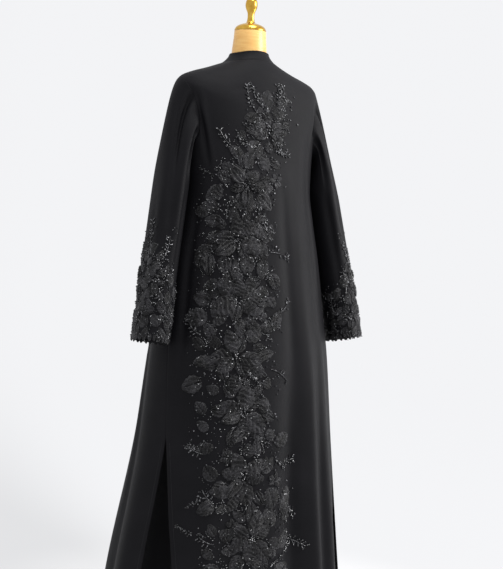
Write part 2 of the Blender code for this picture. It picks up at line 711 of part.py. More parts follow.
def sleeve_border():
    """Once round the armhole from the armpit, down the joined underarm line and round the hem."""
    rounds = np.linspace(-0.5, 0.5, SLEEVE_ROUND + 1)
    rows = np.concatenate([[0.0], SLEEVE_ROWS, [SLEEVE_LENGTH]])
    border = run(rounds, np.zeros(len(rounds)), "free")
    border += run(np.full(len(rows), 0.5), rows, "joined")
    border += run(rounds[::-1], np.full(len(rounds), SLEEVE_LENGTH), "free")
    border += run(np.full(len(rows), -0.5), rows[::-1], "joined")
    return border


SLEEVE_ROWS = np.concatenate(
    [
        CAP_LENGTH * np.array(SLEEVE_CAP_ROWS),
        np.linspace(CAP_LENGTH, SLEEVE_LENGTH, SLEEVE_TUBE_ROWS + 1)[1:-1],
    ]
)


def collar_points(turn, up):
    """The collar's outer side, from the neck seam at 0 to its top edge at 1."""
    base, out = body_surface(turn, np.zeros(np.shape(turn)))
    below = body_surface(turn, np.full(np.shape(turn), 2e-3))[0]
    leave = unit(base - below)
    top = section(np.radians(turn), *(COLLAR_TOP[name] for name in RING_COLUMNS[1:]))
    start = base + leave * SEAM_GAP / 2
    t = np.clip(up, 0.0, 1.0)[..., None]
    rise = (3 - 2 * t) * t * t
    upward = np.array([0.0, 0.0, 1.0])
    return (
        start * (1 - rise)
        + top * rise
        + t * (1 - t) ** 2 * COLLAR_PULL * leave
        - t * t * (1 - t) * COLLAR_PULL * upward
    )


def collar_surface(turn, up):
    where, normal = with_normal(collar_points, turn, up, 0.05, 1e-3)
    seam_normal = body_surface(turn, np.zeros(np.shape(turn)))[1]
    share = ease(up, 0.0, 0.35)[..., None]
    return where, unit(seam_normal * (1 - share) - normal * share)


def collar_plane(turn, up):
    return np.stack([np.radians(turn) * 0.06, up * 0.035], -1)


def collar_border():
    """Round the neck seam, up one front end, back along the top and down the other end."""
    front = front_turn(0.0)
    back = np.linspace(-90.0, 90.0, NECK_STEPS + 1)
    side = np.linspace(90.0, front, NECK_FRONT_STEPS + 1)
    turns = np.concatenate([-side[:0:-1], back, side[1:]])
    levels = np.linspace(0.0, 1.0, 4)
    border = run(turns, np.zeros(len(turns)), "sewn")
    border += run(np.full(4, front), levels, "free")
    border += run(turns[::-1], np.ones(len(turns)), "free")
    border += run(np.full(4, -front), levels[::-1], "free")
    inside = [(turn, level) for level in levels[1:-1] for turn in turns[1:-1]]
    return border, inside


def add_object(name, mesh, material):
    piece = bpy.data.objects.new(name, mesh)
    mesh.materials.append(material)
    mesh.shade_smooth()
    mesh.set_sharp_from_angle(angle=math.radians(40))
    PARTS.objects.link(piece)
    return piece


def loft(name, rings, material):
    """A closed solid through rings of equal count, with a flat face at each end."""
    mesh = bpy.data.meshes.new(name)
    body = bmesh.new()
    rows = [[body.verts.new(p) for p in ring] for ring in rings]
    count = len(rows[0])
    for upper, lower in zip(rows, rows[1:]):
        for i in range(count):
            j = (i + 1) % count
            body.faces.new([upper[i], upper[j], lower[j], lower[i]])
    body.faces.new(rows[0])
    body.faces.new(rows[-1])
    finish_closed(body, mesh)
    return add_object(name, mesh, material)


def turned(name, profile, centre_y, material, steps=ROUND_STEPS):
    """A turned solid from a profile that runs down its outer side."""
    mesh = bpy.data.meshes.new(name)
    mesh.from_pydata([(r, 0.0, z) for r, z in profile], [(i, i + 1) for i in range(len(profile) - 1)], [])
    piece = add_object(name, mesh, material)
    piece.location.y = centre_y
    screw = piece.modifiers.new("Turn", "SCREW")
    screw.steps = steps
    screw.render_steps = steps
    screw.use_merge_vertices = True
    screw.merge_threshold = 0.00005
    screw.use_smooth_shade = True
    return piece


def torso_rings():
    """The form's torso: a clear step inside the cloth at the shoulders, slimmer below."""
    turns = np.linspace(0.0, 360.0, TORSO_ROUND + 1)[:-1]
    signed = (turns + 180.0) % 360.0 - 180.0
    angles = np.radians(signed)
    stub = [
        np.stack(
            [STUB_RADIUS * grow * np.sin(angles), NECK_CENTRE_Y + STUB_RADIUS * grow * np.cos(angles),
             np.full(TORSO_ROUND, height)],
            -1,
        )
        for grow, height in ((1.0, STUB_TOP_Z), (1.01, STUB_TOP_Z - 0.008))
    ]
    rings = list(stub)
    off_ridge = ease(np.abs(np.abs(signed) - 90.0), 0.0, RIDGE_TURNS)
    for down in (0.0, *SHOULDER_ROWS[1:], *ARMHOLE_ROWS, ARMPIT_DOWN):
        level = np.full(TORSO_ROUND, down)
        where, out = with_normal(plain_body, signed, level, 0.05, DIFFERENCE)
        gap = CLEARANCE["on_ridge"](level) * (1 - off_ridge) + CLEARANCE["elsewhere"](level) * off_ridge
        rings.append(where - out * (WALL + gap)[:, None])
    for half_width, back_y, front_y, z in TORSO_RINGS:
        rings.append(section(angles, half_width, 0.004, z, back_y, z, front_y, z))
    return rings


def make_material(name, colour, roughness, metallic):
    material = bpy.data.materials.new(name)
    material.use_nodes = True
    shader = material.node_tree.nodes["Principled BSDF"]
    shader.inputs["Base Color"].default_value = (*colour, 1.0)
    shader.inputs["Roughness"].default_value = roughness
    shader.inputs["Metallic"].default_value = metallic
    return material


def make_cloak(crepe):
    back_inside = even_points(lambda d: -back_limit(d), back_limit, BACK_COLUMNS)
    cloth_piece("back_panel", body_surface, body_plane, back_border(), back_inside, back_raised(), crepe)

    front_inside = even_points(front_limit, front_turn, FRONT_COLUMNS)
    cloth_piece("front_left", body_surface, body_plane, front_border(), front_inside, (), crepe)

    def right_surface(turn, down):
        where, out = body_surface(-turn, down)
        flip = np.array([-1.0, 1.0, 1.0])
        return where * flip, out * flip

    cloth_piece("front_right", right_surface, body_plane, front_border(), front_inside, (), crepe, True)

    rounds = np.linspace(-0.5, 0.5, SLEEVE_ROUND + 1)[1:-1]
    sleeve_inside = [(r, along) for along in SLEEVE_ROWS for r in rounds]
    for name, mirrored in (("sleeve_left", False), ("sleeve_right", True)):
        cloth_piece(
            name, sleeve_surface, sleeve_plane, sleeve_border(), sleeve_inside, sleeve_raised(),
            crepe, mirrored,
        )

    border, inside = collar_border()
    cloth_piece("stand_collar", collar_surface, collar_plane, border, inside, (), crepe)


def make_form(linen, maple, brass, steel):
    loft("form_torso", torso_rings(), linen)
    turned("form_neck", NECK_PROFILE, NECK_CENTRE_Y, maple)
    turned("form_cap", CAP_PROFILE, NECK_CENTRE_Y, brass)
    top = TORSO_BOTTOM_Z - SEAM_GAP
    foot = BASE_PROFILE[0][1] + SEAM_GAP
    turned("form_pole", ((0.0, top), (POLE_RADIUS, top), (POLE_RADIUS, foot), (0.0, foot)), 0.0, steel, 20)
    turned("form_base", BASE_PROFILE, 0.0, steel, 32)


for leftover in list(bpy.data.objects):
    bpy.data.objects.remove(leftover, do_unlink=True)

PARTS = bpy.data.collections.new("abaya_cloak")
bpy.context.scene.collection.children.link(PARTS)

make_cloak(make_material("black_crepe", (0.012, 0.012, 0.014), 0.75, 0.0))
make_form(
    make_material("form_linen", (0.55, 0.45, 0.33), 0.85, 0.0),
    make_material("pale_maple", (0.80, 0.56, 0.24), 0.45, 0.0),
    make_material("polished_brass", (0.80, 0.55, 0.16), 0.22, 1.0),
    make_material("brushed_steel", (0.30, 0.30, 0.31), 0.40, 1.0),
)
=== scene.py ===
"""The looks of an abaya cloak on a dress form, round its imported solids.

Metres, +Z up. The wearer faces -Y, and the wearer's left is +X. The shape of the cloth repeats the
part's own rings, folds, sleeve and collar on a finer grid, with softer creases added. A place on the
body is its turn, in degrees from the middle of the back towards the wearer's left, and how far down
from the neck seam it lies. Flowers, beads and stitches are laid on the cloth in its own metres:
across, towards growing turn, and up.
"""

import math

import bmesh
import bpy
import numpy as np
from mathutils import Matrix, Vector
from mathutils.bvhtree import BVHTree


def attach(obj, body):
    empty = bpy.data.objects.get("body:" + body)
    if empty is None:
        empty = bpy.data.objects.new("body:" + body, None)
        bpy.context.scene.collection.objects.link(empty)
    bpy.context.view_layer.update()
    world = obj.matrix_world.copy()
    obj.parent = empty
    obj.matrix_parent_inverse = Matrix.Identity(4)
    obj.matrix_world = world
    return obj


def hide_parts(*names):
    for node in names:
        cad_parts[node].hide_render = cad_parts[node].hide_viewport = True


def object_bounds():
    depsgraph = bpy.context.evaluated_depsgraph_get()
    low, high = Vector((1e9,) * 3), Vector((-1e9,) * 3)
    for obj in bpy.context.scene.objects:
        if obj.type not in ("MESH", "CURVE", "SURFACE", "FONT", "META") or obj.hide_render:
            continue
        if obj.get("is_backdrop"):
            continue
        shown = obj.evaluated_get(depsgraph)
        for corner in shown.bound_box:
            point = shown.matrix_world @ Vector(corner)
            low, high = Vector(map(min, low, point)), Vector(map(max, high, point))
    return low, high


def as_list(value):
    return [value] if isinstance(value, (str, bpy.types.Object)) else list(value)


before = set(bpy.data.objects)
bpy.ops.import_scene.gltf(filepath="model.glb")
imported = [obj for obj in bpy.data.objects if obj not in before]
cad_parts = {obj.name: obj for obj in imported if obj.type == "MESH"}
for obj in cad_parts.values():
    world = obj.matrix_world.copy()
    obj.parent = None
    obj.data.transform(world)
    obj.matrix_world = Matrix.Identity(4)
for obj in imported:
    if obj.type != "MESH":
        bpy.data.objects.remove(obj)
cad_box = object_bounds()
rng = np.random.default_rng(7)

# The body of the cloak, ring by ring
RING_COLUMNS = ("down", "half_width", "side_y", "side_z", "back_y", "back_z", "front_y", "front_z")
RINGS = (
    (0.000, 0.072, 0.000, 1.426, 0.060, 1.437, -0.060, 1.401),
    (0.042, 0.114, 0.000, 1.411, 0.079, 1.406, -0.078, 1.370),
    (0.082, 0.152, 0.000, 1.399, 0.093, 1.370, -0.094, 1.336),
    (0.115, 0.180, 0.000, 1.386, 0.102, 1.337, -0.104, 1.307),
    (0.140, 0.1915, 0.001, 1.369, 0.107, 1.314, -0.109, 1.286),
    (0.180, 0.194, 0.002, 1.325, 0.114, 1.275, -0.113, 1.253),
    (0.230, 0.188, 0.004, 1.270, 0.122, 1.228, -0.115, 1.212),
    (0.290, 0.180, 0.006, 1.195, 0.133, 1.172, -0.117, 1.165),
    (0.345, 0.175, 0.010, 1.120, 0.146, 1.120, -0.120, 1.120),
    (0.415, 0.184, 0.014, 1.050, 0.158, 1.050, -0.122, 1.050),
    (0.516, 0.203, 0.018, 0.950, 0.172, 0.950, -0.127, 0.950),
    (0.648, 0.221, 0.024, 0.820, 0.190, 0.820, -0.131, 0.820),
    (0.749, 0.236, 0.028, 0.720, 0.202, 0.720, -0.136, 0.720),
    (0.961, 0.258, 0.030, 0.510, 0.221, 0.510, -0.150, 0.510),
    (1.284, 0.305, 0.018, 0.190, 0.236, 0.190, -0.198, 0.190),
    (1.436, 0.325, 0.015, 0.040, 0.243, 0.040, -0.215, 0.040),
)
HEM_DOWN = RINGS[-1][0]
SHOULDER_TIP_DOWN = 0.125
ARMPIT_DOWN = 0.290
ARMHOLE_MIDDLE = (SHOULDER_TIP_DOWN + ARMPIT_DOWN) / 2
ARMHOLE_HALF = (ARMPIT_DOWN - SHOULDER_TIP_DOWN) / 2
SLIT_TOP_DOWN = 0.940
ARMHOLE_IN_BACK = 33.0
ARMHOLE_IN_FRONT = 35.0
SIDE_COLUMNS = ("down", "turn")
SIDE_SEAM = ((0.290, 90.0), (0.345, 88.5), (0.420, 85.0), (0.700, 73.0), (0.940, 65.0))
SLIT_BACK_EDGE = ((0.940, 65.0), (1.100, 56.5), (1.284, 47.5), (1.436, 44.0))
SLIT_FRONT_EDGE = ((0.940, 65.0), (1.100, 66.0), (1.284, 67.0), (1.436, 67.5))
OPENING_COLUMNS = ("down", "half_gap")
FRONT_OPENING = ((0.000, 0.004), (0.150, 0.005), (0.516, 0.012), (0.961, 0.024), (1.436, 0.040))

# Folds, with columns top turn, hem turn, width, depth, where each starts and where it is full
FOLDS = (
    (-33.0, -36.0, 7.0, 0.0040, 0.12, 0.34),
    (-6.0, -16.0, 6.5, -0.0150, 0.55, 1.35),
    (-22.0, -29.0, 6.0, 0.0110, 0.50, 1.30),
    (-33.0, -36.5, 4.0, -0.0080, 0.60, 1.30),
    (-41.0, -43.5, 5.0, 0.0130, 0.45, 1.25),
    (17.0, 20.0, 7.0, -0.0060, 0.70, 1.40),
    (31.0, 35.0, 7.0, 0.0090, 0.60, 1.40),
    (84.0, 80.0, 9.0, 0.0100, 0.70, 1.40),
    (106.0, 101.0, 7.0, -0.0110, 0.45, 1.30),
    (124.0, 119.0, 8.0, 0.0130, 0.40, 1.30),
    (143.0, 140.0, 7.0, -0.0100, 0.30, 1.30),
    (160.0, 159.0, 8.0, 0.0100, 0.30, 1.20),
    (-86.0, -82.0, 9.0, 0.0110, 0.70, 1.40),
    (-108.0, -103.0, 7.0, -0.0110, 0.50, 1.30),
    (-128.0, -122.0, 8.0, 0.0120, 0.40, 1.30),
    (-146.0, -143.0, 7.0, -0.0110, 0.30, 1.30),
    (-163.0, -161.0, 8.0, 0.0090, 0.30, 1.20),
)

# Softer creases, with columns turn and down at the start, turn and down at the end, width and depth
CREASES = (
    (59.0, 0.150, 51.0, 0.300, 2.6, -0.0078),
    (54.5, 0.140, 46.0, 0.330, 3.2, 0.0026),
    (64.0, 0.140, 60.0, 0.255, 1.8, -0.0044),
    (-59.0, 0.150, -50.0, 0.310, 2.8, -0.0042),
    (-54.0, 0.150, -45.0, 0.340, 3.4, 0.0024),
    (-49.0, 0.300, -44.0, 0.620, 3.2, 0.0030),
    (-57.0, 0.320, -53.0, 0.700, 3.4, -0.0032),
    (-12.0, 0.300, -16.5, 1.050, 4.5, -0.0055),
    (-25.0, 0.330, -28.5, 1.050, 4.6, 0.0036),
    (-35.0, 0.420, -38.0, 1.100, 3.4, -0.0036),
    (44.0, 0.330, 45.0, 0.760, 3.6, -0.0026),
    (50.0, 0.420, 49.0, 0.900, 3.4, 0.0030),
    (63.0, 0.360, 60.0, 0.900, 4.0, -0.0060),
    (-12.5, 0.560, -14.0, 1.430, 4.0, -0.0060),
    (-27.0, 0.560, -29.5, 1.430, 4.0, 0.0055),
    (-38.5, 0.600, -40.0, 1.430, 3.0, 0.0040),
    (-46.5, 0.900, -49.5, 1.430, 2.2, -0.0034),
    (12.0, 0.080, 30.0, 0.115, 5.0, -0.0010),
    (-14.0, 0.080, -34.0, 0.120, 5.0, -0.0010),
    (118.0, 0.160, 129.0, 0.330, 3.4, -0.0038),
    (-118.0, 0.160, -129.0, 0.330, 3.4, -0.0038),
    (137.0, 0.360, 134.0, 0.900, 4.0, 0.0032),
    (-136.0, 0.380, -133.0, 0.860, 4.0, 0.0032),
    (112.0, 0.620, 110.0, 1.200, 3.4, 0.0030),
    (-113.0, 0.580, -111.0, 1.240, 3.4, 0.0030),
    (152.0, 0.700, 150.5, 1.400, 3.2, -0.0034),
    (-153.0, 0.640, -151.5, 1.380, 3.2, -0.0034),
)

# Sleeves: a cap that leaves the armhole and eases into a straight tube
SLEEVE_TOP = (0.2115, 0.033, 1.115)
SLEEVE_END = (0.2735, 0.086, 0.756)
CAP_LENGTH = 0.150
CAP_PULL = 0.130
UNDERARM_PULL = 0.045
UNDERARM_TURN = 165.0
UNDERARM_TURN_POWER = 3.0
SLEEVE_COLUMNS = ("along", "half_width", "half_depth")
SLEEVE_GIRTH = ((0.0, 0.0375, 0.0570), (0.5, 0.0380, 0.0550), (1.0, 0.0405, 0.0570))
BODY_CLEARANCE = 0.0035
# Folds of a sleeve, with columns round at its top, round at its end, width, depth, start and end
SLEEVE_FOLDS = (
    (0.16, 0.20, 0.035, -0.0045, 0.02, 0.30),
    (0.24, 0.25, 0.035, 0.0035, 0.04, 0.34),
    (0.07, 0.10, 0.050, 0.0030, 0.10, 0.50),
    (0.33, 0.30, 0.040, -0.0035, 0.12, 0.45),
    (0.80, 0.78, 0.045, -0.0035, 0.06, 0.40),
    (0.90, 0.90, 0.050, 0.0030, 0.05, 0.45),
    (0.120, 0.150, 0.018, -0.0022, 0.01, 0.22),
    (0.200, 0.225, 0.016, -0.0020, 0.02, 0.26),
    (0.280, 0.270, 0.020, 0.0018, 0.10, 0.36),
    (0.030, 0.020, 0.030, -0.0016, 0.16, 0.46),
    (0.860, 0.850, 0.022, -0.0018, 0.04, 0.30),
)

# Stand collar
COLLAR_TOP = {
    "half_width": 0.0490, "side_y": 0.002, "side_z": 1.451, "back_y": 0.0515, "back_z": 1.458,
    "front_y": -0.0490, "front_z": 1.432,
}
COLLAR_PULL = 0.020

SEAM_GAP = 0.0003
CLOTH = 0.0012
# Points across each panel, and down to the shoulder's tip, along the armhole and on to the hem
BACK_COLUMNS = 141
FRONT_COLUMNS = 81
SHOULDER_ROWS = 22
ARMHOLE_ROWS = 41
LOWER_ROWS = 150
# Points round a sleeve, down its cap and down its tube
SLEEVE_ROUNDS = 97
CAP_ROWS = 44
TUBE_ROWS = 62
# Points round the collar and up it
COLLAR_GRID = (121, 16)
# The weave is laid out as if round a body, an arm and a neck of these radii
BODY_FLAT_RADIUS = 0.2
SLEEVE_FLAT_RADIUS = 0.050
NECK_FLAT_RADIUS = 0.06
COLLAR_FLAT_HEIGHT = 0.035
HEM_TURNING = 0.022
HEM_LIFT = 0.0004

# Steps for working out which way a surface faces
DIFFERENCE = 1e-4
TURN_DIFFERENCE = 0.05
ROUND_DIFFERENCE = 0.002

# Trim stays this far below a top edge and above the hem, and may hang this far past a sleeve's end
TOP_MARGIN = 0.004
HEM_MARGIN = 0.003
CUFF_OVERHANG = 0.004
# Flower heads of the back, with columns turn, height, petals, reach and first heading
BACK_HEADS = (
    (0.0, 1.266, 5, 0.052, 20.0),
    (21.0, 1.131, 5, 0.060, 50.0),
    (26.5, 1.000, 6, 0.068, 12.0),
    (24.5, 0.860, 6, 0.070, 38.0),
    (24.5, 0.730, 6, 0.072, 5.0),
    (18.5, 0.598, 6, 0.072, 30.0),
    (17.0, 0.447, 6, 0.074, 15.0),
    (10.5, 0.299, 6, 0.074, 36.0),
    (6.5, 0.152, 6, 0.070, 10.0),
)
# Leaves between the heads, with columns turn, height, length and heading
BACK_LEAVES = (
    (-9.0, 1.322, 0.040, 150.0),
    (48.0, 1.090, 0.042, 110.0),
    (50.0, 1.068, 0.044, 350.0),
    (51.0, 0.985, 0.056, 285.0),
    (2.0, 0.925, 0.044, 250.0),
    (2.0, 0.795, 0.050, 130.0),
    (44.0, 0.668, 0.054, 340.0),
    (-1.0, 0.520, 0.048, 150.0),
    (31.0, 0.384, 0.046, 335.0),
    (-4.0, 0.372, 0.046, 200.0),
    (25.0, 0.222, 0.048, 20.0),
)
# The band that the flowers fill, with columns height, left turn and right turn
BAND = (
    (0.105, 24.0, -2.0),
    (0.190, 30.0, -6.0),
    (0.260, 36.0, -9.0),
    (0.330, 33.0, -13.0),
    (0.400, 36.0, -11.0),
    (0.470, 38.0, -2.0),
    (0.545, 41.0, 2.0),
    (0.615, 45.0, 3.0),
    (0.685, 51.0, 3.0),
    (0.755, 52.0, -2.0),
    (0.825, 55.0, -1.0),
    (0.880, 54.0, 3.0),
    (0.930, 50.0, 8.0),
    (0.975, 56.0, 4.0),
    (1.020, 58.0, 0.0),
    (1.070, 59.0, -1.0),
    (1.115, 57.0, -3.0),
    (1.168, 35.0, -9.0),
    (1.215, 28.0, -12.0),
    (1.265, 18.0, -17.0),
    (1.310, 9.0, -21.0),
    (1.345, 2.0, -21.0),
)
BAND_TRIES = 2600
BAND_SPACING = 0.030
BAND_SPACING_LOW = 0.042
BLOSSOM_SHARE = 0.16
BLOSSOM_REACH = 0.024
BLOSSOM_PETALS = 5
BLOSSOM_BEADS = 5
# Clouds of small beads, with columns turn, height, length, heading, width and count
BEAD_CLOUDS = (
    (17.0, 1.372, 0.080, 235.0, 0.009, 100),
    (-18.0, 1.378, 0.070, 280.0, 0.012, 110),
    (6.0, 1.300, 0.060, 275.0, 0.009, 60),
    (27.0, 1.235, 0.050, 200.0, 0.007, 50),
    (-12.0, 1.205, 0.045, 60.0, 0.006, 36),
    (46.0, 1.140, 0.045, 20.0, 0.007, 36),
    (14.0, 1.085, 0.090, 245.0, 0.006, 60),
    (0.0, 1.020, 0.050, 60.0, 0.007, 36),
    (2.0, 0.905, 0.055, 50.0, 0.008, 45),
    (62.0, 0.800, 0.040, 120.0, 0.007, 36),
    (-4.0, 0.800, 0.050, 20.0, 0.008, 36),
    (8.0, 0.660, 0.060, 45.0, 0.006, 50),
    (16.0, 0.640, 0.090, 280.0, 0.005, 60),
    (52.0, 0.520, 0.040, 200.0, 0.006, 30),
    (2.0, 0.520, 0.045, 30.0, 0.008, 36),
    (-8.0, 0.460, 0.040, 40.0, 0.007, 30),
    (38.0, 0.400, 0.045, 320.0, 0.007, 36),
    (-16.0, 0.330, 0.050, 60.0, 0.008, 40),
    (40.0, 0.310, 0.050, 20.0, 0.007, 36),
    (-13.0, 0.275, 0.080, 325.0, 0.004, 40),
    (38.0, 0.200, 0.045, 10.0, 0.007, 36),
    (-10.0, 0.180, 0.050, 70.0, 0.008, 36),
)
# Sprays of beads, with columns turn, height, length, heading and bend
BACK_SPRAYS = (
    (8.0, 1.300, 0.075, 58.0, 0.5),
    (-9.0, 1.318, 0.060, 108.0, -0.6),
    (26.0, 1.205, 0.055, 35.0, 0.8),
    (-5.0, 1.215, 0.050, 195.0, 0.6),
    (36.0, 1.120, 0.050, 60.0, 0.7),
    (3.0, 0.975, 0.060, 190.0, 0.5),
    (47.0, 0.775, 0.055, 35.0, 0.8),
    (0.0, 0.825, 0.060, 150.0, -0.7),
    (3.0, 0.700, 0.060, 205.0, 0.7),
    (39.0, 0.500, 0.040, 15.0, 0.7),
    (-2.0, 0.480, 0.060, 185.0, -0.6),
    (31.0, 0.385, 0.045, 40.0, 0.6),
    (-6.0, 0.292, 0.080, 195.0, 0.5),
    (29.0, 0.290, 0.040, 20.0, 0.6),
    (-4.0, 0.150, 0.060, 190.0, 0.5),
    (24.0, 0.130, 0.040, 15.0, 0.6),
)
# Flower heads of a sleeve, with columns round, height over the hem, petals, reach and first heading
SLEEVE_HEADS = (
    (0.030, 0.056, 5, 0.046, 20.0),
    (0.270, 0.056, 5, 0.046, 60.0),
    (0.780, 0.056, 5, 0.046, 35.0),
    (0.130, 0.140, 5, 0.042, 50.0),
    (0.900, 0.136, 5, 0.040, 10.0),
)
# The band of a sleeve, with columns height, first round and last round
CUFF_BAND = (
    (0.014, -0.470, 0.470),
    (0.120, -0.460, 0.460),
    (0.150, -0.300, 0.330),
    (0.190, -0.130, 0.190),
    (0.215, -0.060, 0.120),
)
# Scallops round a sleeve's hem: how many, how far above it each starts, and how long each is
SCALLOPS = 24
SCALLOP_ROOT = 0.013
SCALLOP_LENGTH = 0.0180
CUFF_TRIES = 900
CUFF_SPACING = 0.0235
CUFF_RISE = 0.6
# Sprays of a sleeve, with columns round, height, length, heading and bend
SLEEVE_SPRAYS = (
    (0.020, 0.180, 0.100, 88.0, 0.3),
    (0.160, 0.185, 0.060, 70.0, 0.7),
    (0.280, 0.110, 0.060, 100.0, -0.7),
    (0.930, 0.175, 0.060, 110.0, -0.6),
    (0.400, 0.060, 0.055, 80.0, 0.8),
    (0.660, 0.060, 0.055, 95.0, -0.7),
)

# Beads. One looks for a petal from this far above the cloth, and its middle lies this share of its
# radius above what it is sewn to.
PETAL_REACH = 0.012
BEAD_SEAT = 0.8
SMALL_STEP = 1e-3
# Beads in the middle of a flower head: how many, how far out, and how high at most
HEAD_BEADS = 16
HEAD_BEADS_REACH = 0.011
HEAD_BEADS_HEIGHT = 0.0030
# Bugle beads that stand round them
HEAD_BUGLES = 9
HEAD_BUGLES_HEIGHT = 0.0036
# Beads and side twigs of a spray
SPRAY_PITCH = 0.0042
SPRAY_CORD_RADIUS = 0.0009
EDGE_BEAD_PITCH = 0.0034
LOOSE_BEAD_HEIGHT = 0.0024
# Loose beads round a blossom, a petal of the band, a leaf and a petal of a cuff: how far out, how many
BLOSSOM_LOOSE = (0.028, 10)
BAND_LOOSE = (0.032, 14)
LEAF_LOOSE = (0.024, 10)
CUFF_LOOSE = (0.020, 6)
# Loose beads round a flower head of the back and of a sleeve
BACK_HEAD_LOOSE = 90
SLEEVE_HEAD_LOOSE = 26
# The beaded stem that winds through the heads of the back
STEM_ENDS = (0.16, 1.26)
STEM_BEADS = 240
CUFF_LOOSE_BEADS = 260

# Stitches: their pitch, where each starts and ends, and how far from an edge they run, in degrees
STITCH_PITCH = 0.0046
STITCH_ENDS = (0.0, 0.0030)
STITCH_RADIUS = 0.0004
EDGE_STITCH_TURN = 3.0
SLIT_STITCH_TURN = 2.5
# A line of stitches stops this far short of the hem, and is followed through this many points
STITCH_STOP = 0.01
STITCH_LINE_POINTS = 160
FRONT_EDGE_POINTS = 300

# A petal's root lies this far from its flower's middle, and its half width is this share of its length
PETAL_GAP = 0.0080
PETAL_SHAPE = 0.37
# Where a leaf behind a flower starts, and its length, as shares of the flower's reach
LEAF_ROOT = 0.62
LEAF_LENGTH = 0.62
# The heights of a petal's dome, gathers, midrib and rim, and how far its edge is let into the cloth.
# A petal shorter than the full length has shallower gathers.
PETAL_DOME = 0.0024
RUCHE_DEPTH = 0.0024
RUCHE_FULL_LENGTH = 0.045
RIB_DEPTH = 0.0024
RIM_HEIGHT = 0.0010
EDGE_SINK = 0.0004
# Rows and columns of points in petals of the heads, the band, the cuffs and the cuffs' scallops
HEAD_GRID = (21, 17)
BAND_GRID = (17, 13)
CUFF_GRID = (13, 11)
SCALLOP_GRID = (9, 9)

# Dress form, with profiles as radius and height
SHARP_ANGLE = math.radians(38)
NECK_CENTRE_Y = 0.0025
NECK_PROFILE = (
    (0.0, 1.5090), (0.0385, 1.5090), (0.0390, 1.5080), (0.0402, 1.4880), (0.0425, 1.4660),
    (0.0438, 1.4448), (0.0, 1.4448),
)
CAP_PROFILE = (
    (0.0, 1.5940), (0.0058, 1.5922), (0.0108, 1.5870), (0.0143, 1.5795), (0.0150, 1.5720),
    (0.0136, 1.5640), (0.0104, 1.5570), (0.0086, 1.5510), (0.0084, 1.5430), (0.0094, 1.5340),
    (0.0120, 1.5290), (0.0200, 1.5262), (0.0295, 1.5225), (0.0360, 1.5175), (0.0390, 1.5120),
    (0.0390, 1.5093), (0.0, 1.5093),
)
POLE_PROFILE = ((0.0, 0.7717), (0.0125, 0.7717), (0.0125, 0.0523), (0.0, 0.0523))
BASE_PROFILE = (
    (0.0, 0.0520), (0.0170, 0.0520), (0.0200, 0.0490), (0.0215, 0.0340), (0.0400, 0.0230),
    (0.1550, 0.0150), (0.1740, 0.0120), (0.180, 0.0060), (0.180, 0.0), (0.0, 0.0),
)

# The sweep and its glow. The glow grows with how nearly a place faces the bright side, and with its
# distance from the middle of the floor. The paper's own tone falls where it glows.
SWEEP_FLOOR = (0.3, 0.8, 1.6, 4.0)
SWEEP_BEND = 1.5
SWEEP_TOP = 5.0
SWEEP_STEPS = 64
BRIGHT_AZIMUTH = 285.0
GLOW_FACING = (0.10, 0.50)
GLOW_STRENGTH = (0.76, 0.90)
GLOW_RISE = (0.2, 0.85)
PAPER_TONE = (0.80, 0.02)
# Lights, with columns name, azimuth, elevation, distance, size, power, colour and height aimed at
LIGHTS = (
    ("key", 236.0, 24.0, 3.4, 1.7, 96.0, (1.0, 0.99, 0.97), 0.9),
    ("side", 256.0, 3.0, 2.0, 1.0, 11.0, (1.0, 1.0, 1.0), 0.45),
    ("top", 190.0, 74.0, 2.6, 1.2, 45.0, (1.0, 1.0, 1.0), 1.2),
)
SKY_COLOUR = (0.97, 0.975, 1.0, 1.0)
SKY_STRENGTH = 0.90

# Camera, as the photograph was taken
CAMERA_AZIMUTH = 150.0
CAMERA_DISTANCE = 3.0
CAMERA_HEIGHT = 1.12
CAMERA_SIDE = 0.037
CAMERA_PITCH = 4.5
CAMERA_ROLL = 3.0
CAMERA_SENSOR = 36.0
CAMERA_FOCAL_PIXELS = 1200.0
PHOTO_HEIGHT = 569.0


def smooth_curve(stations, values):
    """A cubic through the values that never swings past them."""
    x = np.array(stations, dtype=float)
    y = np.array(values, dtype=float)
    step = np.diff(x)
    slope = np.diff(y) / step
    tangent = np.concatenate(([slope[0]], np.zeros(len(x) - 2), [slope[-1]]))
    for i in range(1, len(x) - 1):
        before, after = slope[i - 1], slope[i]
        if before * after > 0:
            first = 2 * step[i] + step[i - 1]
            second = step[i] + 2 * step[i - 1]
            tangent[i] = (first + second) / (first / before + second / after)

    def value(at):
        at = np.clip(np.asarray(at, dtype=float), x[0], x[-1])
        i = np.clip(np.searchsorted(x, at, side="right") - 1, 0, len(x) - 2)
        t = (at - x[i]) / step[i]
        rise = (3 - 2 * t) * t * t
        return (
            y[i] * (1 - rise)
            + y[i + 1] * rise
            + step[i] * (t * (1 - t) ** 2 * tangent[i] - t * t * (1 - t) * tangent[i + 1])
        )

    return value


def columns_of(rows, names):
    """A smooth curve for each column, along the first one."""
    stations = [row[0] for row in rows]
    return {
        name: smooth_curve(stations, [row[i + 1] for row in rows])
        for i, name in enumerate(names[1:])
    }


RING = columns_of(RINGS, RING_COLUMNS)
SIDE_TURN = columns_of(SIDE_SEAM, SIDE_COLUMNS)["turn"]
BACK_SLIT_TURN = columns_of(SLIT_BACK_EDGE, SIDE_COLUMNS)["turn"]
FRONT_SLIT_TURN = columns_of(SLIT_FRONT_EDGE, SIDE_COLUMNS)["turn"]
HALF_GAP = columns_of(FRONT_OPENING, OPENING_COLUMNS)["half_gap"]
SLEEVE_HALF = columns_of(SLEEVE_GIRTH, SLEEVE_COLUMNS)
LEVELS = np.linspace(0.0, HEM_DOWN, 600)


def polar(far, angle):
    """The place this far out at an angle, as across and up."""
    return far * math.cos(angle), far * math.sin(angle)


